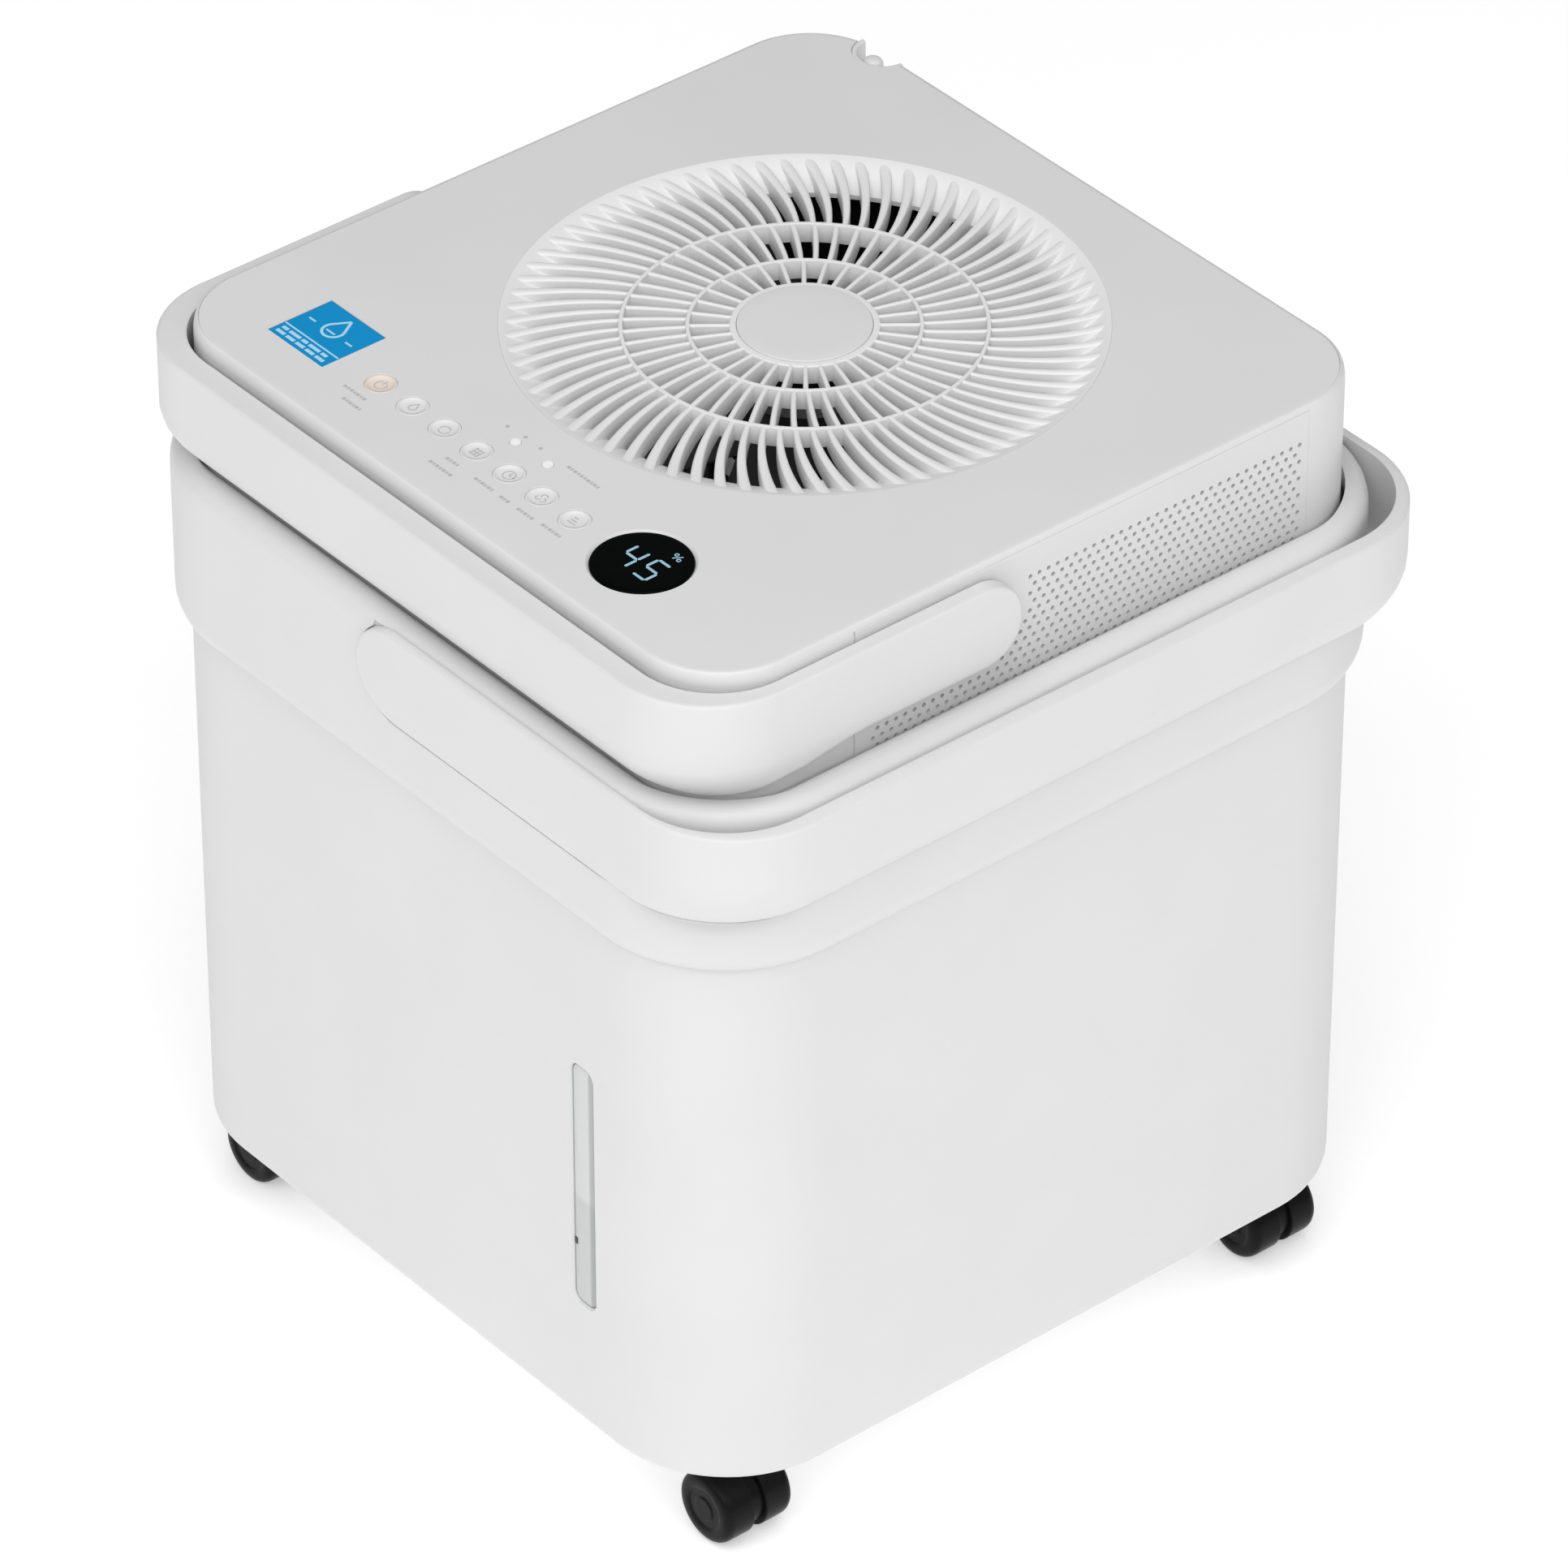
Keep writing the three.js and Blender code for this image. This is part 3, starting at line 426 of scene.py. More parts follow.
def window_material():
    """Clear strip over the tank: pale above the waterline, greyer below it, darker down one edge; that
    darker edge is painted shade standing for refraction in the clear plastic.
    """
    material, shader = new_material("water_window_clear", (0.6, 0.64, 0.63), 0.16)
    split = add_node(material, "ShaderNodeSeparateXYZ")
    use_object_space(material, split)
    across = add_node(material, "ShaderNodeMapRange")
    across.inputs["From Min"].default_value = WINDOW.x * MM + CENTRE_X - WINDOW_HALF * MM
    across.inputs["From Max"].default_value = WINDOW.x * MM + CENTRE_X + WINDOW_HALF * MM
    wire(material, split, "X", across, "Value")
    # painted shade: the strip darkens towards its long edges, most down the +x edge, standing for refraction
    # in the clear plastic
    refraction_shade = add_node(material, "ShaderNodeValToRGB")
    refraction_shade.color_ramp.elements[0].color = (0.50, 0.54, 0.53, 1)
    refraction_shade.color_ramp.elements[1].color = (0.36, 0.39, 0.39, 1)
    for position, grey in ((0.3, 0.60), (0.72, 0.62), (0.82, 0.40)):
        stop = refraction_shade.color_ramp.elements.new(position)
        stop.color = (grey * 0.96, grey, grey * 0.985, 1)
    wire(material, across, "Result", refraction_shade, "Fac")
    water = add_node(material, "ShaderNodeMapRange")
    water.inputs["From Min"].default_value = WATERLINE * MM
    water.inputs["From Max"].default_value = (WATERLINE + 3) * MM
    water.inputs["To Min"].default_value = 0.86
    water.inputs["To Max"].default_value = 1.0
    wire(material, split, "Z", water, "Value")
    mix = add_node(material, "ShaderNodeMix", data_type="RGBA", blend_type="MULTIPLY")
    mix.inputs["Factor"].default_value = 1.0
    wire(material, refraction_shade, "Color", mix, 6)
    wire(material, water, "Result", mix, 7)
    wire(material, mix, 2, shader, "Base Color")
    relief(material, shader, noise(material, 6.0), 0.2, 0.2)
    shader.inputs["Coat Weight"].default_value = 0.5
    shader.inputs["Coat Roughness"].default_value = 0.08
    return material


SHELL_WHITE = (0.72, 0.72, 0.72)
shell_white = plastic("shell_white", SHELL_WHITE)
top_white = plastic("top_panel_white", SHELL_WHITE, 0.5)
grille_white = plastic("grille_white", (0.80, 0.80, 0.80), 0.4)
button_white = plastic("button_white", (0.76, 0.76, 0.76), 0.38)
button_tint = plastic("button_peach", (0.80, 0.70, 0.62), 0.38)
inner_white = plastic("inner_white", (0.62, 0.62, 0.61), 0.5, 1.0)
black_plastic = plastic("caster_black", (0.008, 0.008, 0.009), 0.3, 0.6, 0.1, 0.1, 0.08)
shroud_black = plastic("shroud_black", (0.012, 0.012, 0.012), 0.6, 0.8, 0.2, 0.1, 0.2)
grey_plastic = plastic("fan_grey", (0.035, 0.035, 0.037), 0.5, 0.8, 0.2, 0.06)
float_grey = plastic("float_grey", (0.5, 0.5, 0.49), 0.6, 0.9, 0.3, 0.05)
print_grey = plastic("print_grey", (0.50, 0.50, 0.50), 0.5)
label_blue = plastic("label_blue", (0.002, 0.27, 0.60), 0.45, 0.6, 0.05, 0.03, 0.15)
label_pale = plastic("label_pale", (0.42, 0.70, 0.86), 0.45, 0.6, 0.05, 0.03, 0.15)
rubber = plastic("rubber_black", (0.02, 0.02, 0.02), 0.8, 0.5, 0.5, 0.1)
painted_black = plastic("painted_black", (0.02, 0.02, 0.021), 0.3, 1.5, 0.25, 0.15)
board_green = plastic("board_green", (0.03, 0.17, 0.08), 0.35, 0.7, 0.5, 0.15)
steel = metal("steel", (0.62, 0.62, 0.64))
copper = metal("copper", (0.78, 0.38, 0.22))
fins_metal = banded("coil_fins", (0.75, 0.76, 0.78), 0.35, 1.8, "Z", 0.6)
filter_mesh = banded("filter_mesh", (0.66, 0.67, 0.68), 0.7, 2.2, "DIAGONAL", 0.8, 0.0)
black_lens = lens_material()
digit_glow = lit_material("digit_glow", (0.26, 0.44, 0.54), 0.25)
light_white = lit_material("indicator_white", (0.8, 0.8, 0.8), 0.15)
clear_window = window_material()


# ---- bucket ----
def bucket_outline():
    """Outer and inner wall of the bucket as one profile, from the underside's edge to the tank floor's."""
    start = math.radians(SWELL_START)
    swell = []
    for i in range(9):
        turn = math.radians(SWELL_START + (90 - SWELL_START) * i / 8)
        out = (math.sin(turn) - math.sin(start)) / (1 - math.sin(start))
        up = (math.cos(start) - math.cos(turn)) / math.cos(start)
        half = BODY_HALF + (COLLAR_HALF - BODY_HALF) * out
        swell.append((half, COLLAR_BOTTOM + (COLLAR_FULL - COLLAR_BOTTOM) * up, 0))
    outer = rounded([
        (BODY_HALF - 30, BUCKET_BOTTOM, 0), (BODY_HALF, BUCKET_BOTTOM, 5), *swell,
        (COLLAR_HALF, RIM_TOP, 9), (RIM_INNER, RIM_TOP, 4.5), (RIM_INNER, RIM_TOP - 7, 0.6),
        (TANK_HALF + 1.8, RIM_TOP - 8, 1), (TANK_HALF + 1.8, COLLAR_FULL + 2, 1),
        (TANK_HALF, COLLAR_FULL - 4, 1), (TANK_HALF, BUCKET_BOTTOM + 4, 7),
        (TANK_HALF - 24, BUCKET_BOTTOM + 4, 0),
    ], 7)
    rings = []
    for half, z in outer:
        corner = BUCKET_CORNER + half - BODY_HALF
        if half <= RIM_INNER + 4 and z > RIM_TOP - 8.5:
            corner = HEAD_CORNER + 1.8 + (half - RIM_INNER) * 2.5
        rings.append(square_ring(half, corner, z))
    return Shape().loft(rings)


def recess_tool():
    """Bands sunk behind the arms of the bucket's handle; they run out at the right corners."""
    beyond = COLLAR_HALF + 30
    profile = [
        (RECESS_HALF, RECESS_BOTTOM + 0.4), (RECESS_HALF + 0.6, RECESS_BOTTOM),
        (beyond, RECESS_BOTTOM - 0.6), (beyond, RIM_TOP + 6),
        (RECESS_HALF - 4, RIM_TOP + 6), (RECESS_HALF - 4, RIM_TOP + 0.02),
        (RECESS_HALF - 1, RIM_TOP - 0.8), (RECESS_HALF, RIM_TOP - 2.2),
    ]
    rings = []
    for half, z in profile:
        ring = square_ring(half, BUCKET_CORNER - 2 + half - RECESS_HALF, z)
        rings.append([(x + RECESS_SHIFT if x > 0 else x, y, up) for x, y, up in ring])
    band = Shape().loft(rings, True)
    pivot = BUCKET_BAIL["end_z"]
    radius = BUCKET_BAIL["end_r"] + 0.6
    first = math.acos(RECESS_END / radius)
    end = []
    for side in (-250, 250):
        ring = [(240, side, RECESS_BOTTOM - 6), (240, side, RIM_TOP + 9), (RECESS_END, side, RIM_TOP + 9)]
        for i in range(29):
            angle = first + i / 28 * (math.pi * 1.5 - first)
            ring.append((radius * math.cos(angle), side, pivot + radius * math.sin(angle)))
        ring.append((0, side, RECESS_BOTTOM - 6))
        end.append(ring)
    return combine(band.build(), [Shape().loft(end).build()], "INTERSECT")


def slot_outline(half_x, z0, z1, radius):
    """Upright slot with rounded corners, as (x, z) points."""
    steps = 8
    points = []
    for quarter in range(4):
        cx = (half_x - radius) * (1, -1, -1, 1)[quarter]
        cz = (z1 - radius, z1 - radius, z0 + radius, z0 + radius)[quarter]
        for i in range(steps + 1):
            angle = (quarter + i / steps) * math.pi / 2
            points.append((cx + radius * math.cos(angle), cz + radius * math.sin(angle)))
    return points


def window_stack(levels):
    """Loft of window outlines; levels are (depth behind the front wall's face, growth of the outline)."""
    low, high = limits("water_window")
    z0, z1 = low.z + 4, high.z - 4
    rings = []
    for depth, grow in levels:
        outline = slot_outline(WINDOW_HALF + grow, z0 - grow, z1 + grow, WINDOW_CORNER + grow)
        rings.append([(WINDOW.x + x, -BODY_HALF + depth, z) for x, z in outline])
    return Shape().loft(rings)


def corner_arc(centre, radius):
    turns = [i / CORNER_STEPS * math.pi / 2 for i in range(CORNER_STEPS + 1)]
    return [(centre + radius * math.cos(t), centre + radius * math.sin(t)) for t in turns]


def corner_ledge(sx, sy):
    """Ledge in a corner of the tank that the head stands on."""
    outline = corner_arc(TANK_HALF + 1 - LEDGE_CORNER, LEDGE_CORNER)
    outline += reversed(corner_arc(TANK_HALF - LEDGE_CURVE, LEDGE_CURVE))
    return Shape().loft([[(sx * x, sy * y, z) for x, y in outline] for z in (LEDGE_TOP - 8, LEDGE_TOP)])


def make_bucket():
    bucket = bucket_outline().build()
    boss = rounded([
        (0, BUCKET_BOTTOM + 2, 0), (9, BUCKET_BOTTOM + 2, 0), (9, BUCKET_BOTTOM + 22, 1.5),
        (0, BUCKET_BOTTOM + 22, 0),
    ])
    extras = []
    tools = [
        recess_tool(),
        bore(PIN_BORE, 220, "X", (0, 0, middle("bucket_handle_pin_front").z)).build(),
        window_stack([(-1, 1.3), (0, 1.0), (0.8, 0.3), (2, 0.25), (4, 0.25)]).build(),
    ]
    for name, (sx, sy) in CASTERS.items():
        stem = middle(f"caster_{name}_stem")
        extras.append(lathe(boss, 40, stem.x, stem.y).build())
        extras.append(corner_ledge(sx, sy).build())
        tools.append(cylinder(5.2, BUCKET_BOTTOM - 1, BUCKET_BOTTOM + 19, 32, stem.x, stem.y).build())
    combine(bucket, extras, "UNION")
    combine(bucket, tools)
    finish_piece(bucket, "bucket_shell", shell_white, "bucket_body", ["bucket"])


def make_window():
    strip = window_stack([(4.6, 0), (2.2, 0), (1.4, 0), (1.0, -0.3), (0.8, -0.9), (0.65, -3)]).build()
    finish_piece(strip, "window_strip", clear_window, "bucket_body", ["water_window"])
    y = -BODY_HALF + 0.62
    mark = block(WINDOW.x - 6.0, WINDOW.x - 4.4, y - 0.12, y + 0.3, *LEVEL_MARK).build()
    finish_piece(mark, "window_level_mark", grey_plastic, "bucket_body", [])


# ---- handles ----
HEAD_BAIL = {
    "arm_in": 169.7, "arm_out": 176.4, "left_extra": 2.8, "radius_in": 36, "radius_out": 42.5,
    "bow_in": 171.4, "bow_out": 182.4, "foot": 169.7, "foot_out": 171.6, "top": 421.8, "bend": 390,
    "bottom": 373.8, "arm_bottom": 385, "end_y": -39.4, "end_z": 403.4, "end_r": 18.4, "edge": 1.3,
}
BUCKET_BAIL = {
    "arm_in": 183.3, "arm_out": 187.3, "left_extra": 0, "radius_in": 42, "radius_out": 48,
    "bow_in": 188.4, "bow_out": 195.9, "foot": 185.6, "foot_out": 187.8, "top": 372, "bend": 346,
    "bottom": 327.9, "arm_bottom": 327.9, "end_y": 0, "end_z": 349.95, "end_r": 22.05, "edge": 1.2,
}
ARM_RUN = 88        # how far the arm's sections reach from the centre of its round end
ARM_LEVEL = 54      # how much of that keeps its depth
ARM_DEEPENS = 74    # length over which the band then deepens
INNER_EDGE = 0.8


def bail_stations(bail):
    """Places along the left arm, the corner, the bow and back again."""
    tip = bail["end_y"] + bail["end_r"]
    places = []
    for i in range(17):
        places.append(("arm", -1, tip - bail["end_r"] * (1 - math.cos(i / 16 * math.pi / 2))))
    fall = bail["end_y"] - ARM_RUN
    for i in range(1, 13):
        places.append(("arm", -1, bail["end_y"] + (fall - bail["end_y"]) * i / 12))
    for i in range(15):
        places.append(("corner", -1, i / 14))
    for i in range(1, 8):
        places.append(("bow", -1, i / 8))
    places.append(("bow", 1, 0.0))
    mirror = [(kind, 1, 1 - v if kind == "bow" else v) for kind, _, v in reversed(places[:-1])]
    return places + mirror


def bail_point(place, half, front, radius):
    kind, side, value = place
    if kind == "arm":
        return side * half, value
    if kind == "corner":
        angle = value * math.pi / 2
        across = half - radius + radius * math.cos(angle)
        ahead = front - radius + radius * math.sin(angle)
        return side * across, -ahead
    return side * (half - radius) * (1 - value), -front


def bail_extent(bail, place):
    """Lowest and highest z of the band at a place; the arm deepens towards the corner."""
    kind, _, value = place
    if kind == "bow":
        return bail["bottom"], bail["top"]
    if kind == "arm" and value > bail["end_y"]:
        reach = math.sqrt(max(0.0, bail["end_r"] ** 2 - (value - bail["end_y"]) ** 2))
        return bail["end_z"] - reach, bail["end_z"] + reach
    run = bail["end_y"] - value if kind == "arm" else ARM_RUN + value * bail["radius_in"] * math.pi / 2
    t = min(1.0, max(0.0, (run - ARM_LEVEL) / ARM_DEEPENS))
    smooth = t * t * (3 - 2 * t)
    return bail["arm_bottom"] + (bail["bottom"] - bail["arm_bottom"]) * smooth, bail["top"]


def round_over(distance, radius):
    """How far a face draws back at a distance from its rounded edge."""
    if distance >= radius:
        return 0.0
    return radius - math.sqrt(max(0.0, radius ** 2 - (radius - distance) ** 2))


def edge_distance(bail, place, z, low, high):
    """Distance from the band's outline, seen square on."""
    kind, _, y = place
    if kind == "arm" and y > bail["end_y"]:
        return max(0.0, bail["end_r"] - math.hypot(y - bail["end_y"], z - bail["end_z"]))
    return max(0.0, min(z - low, high - z))


def bail_skin(bail):
    """The band as one closed skin: outer face, top edge, inner face and lower edge, with rounded edges."""
    heights = [0, 0.01, 0.03, 0.06, 0.10, 0.16, 0.24, 0.34, 0.46]
    heights += [0.58, 0.70, 0.80, 0.87, 0.92, 0.95, 0.975, 0.99, 1]
    arm_foot = bail["arm_in"] + 0.45 * (bail["arm_out"] - bail["arm_in"])
    rings = []
    for place in bail_stations(bail):
        low, high = bail_extent(bail, place)
        ring = []
        for outer in (True, False):
            for h in heights if outer else reversed(heights):
                z = low + (high - low) * h
                drop = min(1.0, max(0.0, (bail["bend"] - z) / (bail["bend"] - bail["bottom"])))
                edge = bail["edge"] if outer else INNER_EDGE
                inset = round_over(edge_distance(bail, place, z, low, high), edge)
                if outer:
                    half = bail["arm_out"] - (bail["arm_out"] - arm_foot) * drop ** 1.6 - inset
                    front = bail["bow_out"] - (bail["bow_out"] - bail["foot_out"]) * drop ** 1.84 - inset
                    half += bail["left_extra"] if place[1] < 0 else 0
                    radius = bail["radius_out"]
                else:
                    half = bail["arm_in"] + inset
                    front = bail["bow_in"] - (bail["bow_in"] - bail["foot"]) * drop + inset
                    radius = bail["radius_in"]
                ring.append((*bail_point(place, half, front, radius), z))
        rings.append(ring)
    return Shape().loft(rings)


def make_handles():
    pin = middle("head_handle_pin_right")
    handle = bail_skin(HEAD_BAIL).build()
    combine(handle, [bore(PIN_BORE, 175, "Y", (0, pin.y, pin.z)).build()])
    finish_piece(handle, "head_carry_handle", shell_white, "head_bail", ["head_handle"], 50)
    pin = middle("bucket_handle_pin_front")
    handle = bail_skin(BUCKET_BAIL).turned(math.pi / 2).build()
    combine(handle, [bore(PIN_BORE, 185.9, "X", (pin.x, 0, pin.z)).build()])
    finish_piece(handle, "bucket_carry_handle", shell_white, "bucket_bail", ["bucket_handle"],
                 50)


# ---- head ----
def make_head_shell():
    inner = HEAD_HALF - 2.5
    under_plate = PLATE_BOTTOM - 0.3
    shoulder = []
    for i in range(9):
        turn = i / 8 * math.pi / 2
        shoulder.append((
            HEAD_HALF - SHOULDER_IN * (1 - math.cos(turn)), TOP - SHOULDER_DOWN * (1 - math.sin(turn)), 0,
        ))
    profile = rounded([
        (HEAD_HALF - 1, HEAD_BOTTOM, 0), (HEAD_HALF, HEAD_BOTTOM, 0.8), *shoulder,
        (HEAD_HALF - LIP, TOP, 0), (HEAD_HALF - LIP, under_plate, 0), (inner - 4.5, under_plate, 0),
        (inner - 4.5, PLATE_BOTTOM - 3, 0), (inner, PLATE_BOTTOM - 4, 0), (inner, HEAD_BOTTOM, 0),
        (HEAD_HALF - 1, HEAD_BOTTOM, 0),
    ], 5)[:-1]
    shell = head_loft(profile, True).build()
    low, high = INTAKE_LOW, INTAKE_HIGH
    notch = middle("cord_outlet")
    pin = middle("head_handle_pin_left")
    tools = [
        block(HEAD_HALF - 12, HEAD_HALF + 1, low.y - 0.3, high.y + 0.06, low.z - 0.06, PLATE_BOTTOM - 3.2),
        block(HEAD_HALF - LIP, HEAD_HALF + 1, low.y - 0.3, high.y + 0.06, low.z - 0.06, high.z + 0.06),
        bore(PIN_BORE, 3.5, "Y", (1.5 - HEAD_HALF, pin.y, pin.z)),
        cylinder(NOTCH_R, limits("cord_outlet")[0].z - 0.3, TOP + 2, 48, notch.x, HEAD_HALF),
    ]
    for tool in tools:
        combine(shell, [tool.build()])
    finish_piece(shell, "head_wall", shell_white, "head", ["head_shell"])


def hole_tool(radius, x, y, sides, bevel):
    """Cutter for a round hole through the top plate with a fine bevel at its edge."""
    return lathe([
        (radius, PLATE_BOTTOM - 1), (radius, TOP - bevel), (radius + bevel, TOP),
        (radius + bevel + 1, TOP + 1),
    ], sides, x, y)


def make_top_panel():
    profile = rounded([
        (PLATE_HALF - 3, PLATE_BOTTOM, 0), (PLATE_HALF, PLATE_BOTTOM, 0.3), (PLATE_HALF, TOP, 0.5),
        (PLATE_HALF - 3, TOP, 0),
    ], 3)
    plate = head_loft(profile).build()
    tools = [hole_tool(BOWL_R + 0.03, 0, GRILLE.y, 160, 0.15).build()]
    for name in BUTTONS:
        at = middle("button_" + name)
        tools.append(hole_tool(6.54, at.x, at.y, 48, 0.15).build())
    for x in LIGHT_X:
        tools.append(hole_tool(2.35, x, middle("indicator_light_guide").y, 24, 0.2).build())
    tools.append(hole_tool(DISPLAY_R + 0.15, DISPLAY.x, DISPLAY.y, 80, 1.1).build())
    low, high = limits("info_label")
    tools.append(block(low.x - 0.2, high.x + 0.2, low.y - 0.2, high.y + 0.2, TOP - 0.7, TOP + 1).build())
    notch = middle("cord_outlet")
    tools.append(cylinder(NOTCH_R, PLATE_BOTTOM - 1, TOP + 1, 48, notch.x, HEAD_HALF).build())
    combine(plate, tools)
    finish_piece(plate, "top_plate", top_white, "head", ["top_panel"])


def bowl_height(r):
    """Height of the bowl's sloping wall at a radius."""
    t = min(1.0, max(0.0, (r - 103) / (BOWL_R - 103)))
    return TOP - 0.03 - 8 * (1 - t) ** 1.25


def vane(inner, outer, twist, thick, steps):
    """One upright blade, curving by twist degrees; thick is its thickness at the inner and outer end."""
    rings = []
    for i in range(steps + 1):
        t = i / steps
        r = inner + (outer - inner) * t
        turn = math.radians(twist) * t ** 1.3
        lean = math.radians(twist) * 1.3 * t ** 0.3 * r / (outer - inner)
        along = Vector((math.cos(turn), math.sin(turn)))
        normal = Vector((-math.sin(turn + math.atan(lean)), math.cos(turn + math.atan(lean))))
        z1 = VANE_TOP + max(0.0, (r - 100) / 19) ** 2
        z0 = max(VANE_BOTTOM, bowl_height(r) - 0.6) if r > 102.5 else VANE_BOTTOM
        half = (thick[0] + (thick[1] - thick[0]) * t) / 2
        section = [
            (-half, z0), (-half, z1 - 0.9), (-half * 0.8, z1 - 0.35), (-half * 0.35, z1),
            (half * 0.35, z1), (half * 0.8, z1 - 0.35), (half, z1 - 0.9), (half, z0),
        ]
        rings.append([(*(along * r + normal * side), z) for side, z in section])
    return Shape().loft(rings)


def make_grille():
    slope = [BOWL_R - 16 + 16 * i / 12 for i in range(13)]
    bowl = [(r, bowl_height(r)) for r in slope]
    outside = [(BOWL_R, PLATE_BOTTOM - 0.4), (124, PLATE_BOTTOM - 0.4), (124, PLATE_BOTTOM - 3.2),
               (BOWL_R - 1, GRILLE_BOTTOM + 2), (BOWL_R - 14, GRILLE_BOTTOM), (BOWL_R - 16, GRILLE_BOTTOM)]
    grille = lathe(bowl + outside, 160, wrap=True)
    for r in RING_R:
        grille.merge(lathe([
            (r - 1, VANE_BOTTOM), (r - 1, VANE_TOP - 0.3), (r - 0.6, VANE_TOP + 0.1),
            (r + 0.6, VANE_TOP + 0.1), (r + 1, VANE_TOP - 0.3), (r + 1, VANE_BOTTOM),
        ], 120, wrap=True))
    hub = rounded([
        (0, VANE_BOTTOM, 0), (29.5, VANE_BOTTOM, 0.5), (29.5, VANE_TOP, 0.8), (26.75, VANE_TOP, 0.2),
        (26.75, VANE_TOP - 1.2, 0.2), (0, VANE_TOP - 1.2, 0),
    ], 3)
    grille.merge(lathe(hub, 96))
    for count, inner, outer, twist, steps, thick in (
        (32, 28.8, RING_R[0], 0, 3, (1.9, 2.1)),
        (52, RING_R[0], RING_R[1], 2, 4, (2.1, 2.4)),
        (72, RING_R[1], 117.6, 7, 12, (2.2, 4.7)),
    ):
        blade = vane(inner, outer, twist, thick, steps)
        for i in range(count):
            grille.merge(Shape().merge(blade).turned(2 * math.pi * (i + 0.5) / count))
    grille.moved(y=GRILLE.y)
    finish_piece(grille.build(), "air_outlet_grille", grille_white, "head", ["outlet_grille"],
                 45)
    cap = lathe(rounded([
        (0, VANE_TOP - 1, 0), (HUB_R, VANE_TOP - 1, 0.2), (HUB_R, VANE_TOP + 0.5, 0.5),
        (HUB_R - 4, VANE_TOP + 0.8, 2), (0, VANE_TOP + 1.0, 0),
    ], 4), 96, 0, GRILLE.y)
    finish_piece(cap.build(), "hub_disc", top_white, "head", ["grille_hub_cap"])


def make_buttons():
    bottom = limits("button_power")[0].z
    for name in BUTTONS:
        at = middle("button_" + name)
        cap = lathe(rounded([
            (0, bottom, 0), (8, bottom, 0), (8, bottom + 2, 0), (6.5, bottom + 2, 0), (6.5, TOP - 0.05, 0.6),
            (5.6, TOP - 0.05, 0.5), (4.6, TOP - 0.75, 1.2), (0, TOP - 1.0, 0),
        ], 4), 48, at.x, at.y)
        tinted = name == "power"
        finish_piece(cap.build(), "cap_" + name, button_tint if tinted else button_white, "press_" + name,
                     ["button_" + name])
        icon = button_icon(name).widened(1.25).moved(at.x, at.y, 0)
        finish_piece(icon.build(), "icon_" + name, print_grey, "press_" + name, [])


def bar(x0, y0, x1, y1, width, z):
    """Thin printed bar between two points."""
    a, b = Vector((x0, y0)), Vector((x1, y1))
    side = (b - a).normalized().orthogonal() * width / 2
    ring = [a - side, b - side, b + side, a + side]
    return Shape().loft([[(*p, z - 0.1) for p in ring], [(*p, z + PRINT) for p in ring]])


def arc_band(radius, start, end, width, z, steps=20):
    """Thin printed arc, angles in degrees."""
    rings = []
    for i in range(steps + 1):
        angle = math.radians(start + (end - start) * i / steps)
        direction = Vector((math.cos(angle), math.sin(angle)))
        low, high = direction * (radius - width / 2), direction * (radius + width / 2)
        rings.append([(*low, z - 0.1), (*high, z - 0.1), (*high, z + PRINT), (*low, z + PRINT)])
    return Shape().loft(rings)


def button_icon(name):
    """Plain signs: a mains sign, a drop, a ring, a grid, a clock, a fan and bars."""
    z = TOP - 0.92
    icon = Shape()
    if name == "power":
        icon.merge(arc_band(2.0, 120, 420, 0.45, z), bar(0, 0.8, 0, 2.8, 0.45, z))
    elif name == "pump":
        icon.merge(arc_band(1.3, 150, 390, 0.4, z))
        for x in (-1.15, 1.15):
            icon.merge(bar(x, 0.6, 0, 2.6, 0.4, z))
    elif name == "continuous":
        icon.merge(arc_band(1.9, 30, 190, 0.4, z), arc_band(1.9, 210, 370, 0.4, z))
    elif name == "filter":
        for i in (-1.4, 0, 1.4):
            icon.merge(bar(-2, i, 2, i, 0.4, z), bar(i, -2, i, 2, 0.4, z + 0.02))
    elif name == "timer":
        icon.merge(arc_band(2.1, 0, 360, 0.4, z))
        icon.merge(bar(0, 0, 0, 1.5, 0.4, z), bar(0, 0, 1.1, -0.4, 0.4, z + 0.02))
    elif name == "fan":
        for i in range(3):
            icon.merge(arc_band(1.0, 20, 230, 0.4, z).moved(y=1.1).turned(i * 2 * math.pi / 3))
    else:
        for i in range(3):
            icon.merge(bar(-1.8, (i - 1) * 1.4, 1.8 - 0.9 * i, (i - 1) * 1.4, 0.45, z))
    return icon


def make_control_marks():
    """Rows of small plain dashes beside the buttons, in place of wording."""
    z = TOP - 0.06
    marks = Shape()
    rows = [
        (-79, -64.7, -145.7), (-72.6, -61.7, -151.4), (-15.3, -7.7, -145.9), (-17.8, -3.5, -152.1),
        (2.2, 14.1, -146.1), (17.9, 23.9, -146.3), (28.4, 39, -146.3), (42.5, 54.8, -145.7),
        (18.8, 38.4, -114.2),
    ]
    for x0, x1, y in rows:
        x = x0
        long = True
        while x < x1 - 0.8:
            end = min(x1, x + (1.7 if long else 1.0))
            marks.merge(bar(x, y, end, y, 1.5, z))
            x = end + 0.6
            long = not long
    for x, y in ((-16.8, -115.0), (-6.7, -114.2), (3, -114.6)):
        marks.merge(lathe([(0.9, z - 0.1), (0.9, z + PRINT)], 20, x, y))
    finish_piece(marks.build(), "control_marks", print_grey, "head", [])


SEGMENTS = {
    "top": (0, 1, 1, 1), "middle": (0, 0, 1, 0), "bottom": (0, -1, 1, -1),
    "upper_left": (0, 1, 0, 0), "upper_right": (1, 1, 1, 0), "lower_right": (1, 0, 1, -1),
}
DIGITS = {
    "4": ("upper_left", "upper_right", "middle", "lower_right"),
    "5": ("top", "upper_left", "middle", "lower_right", "bottom"),
}


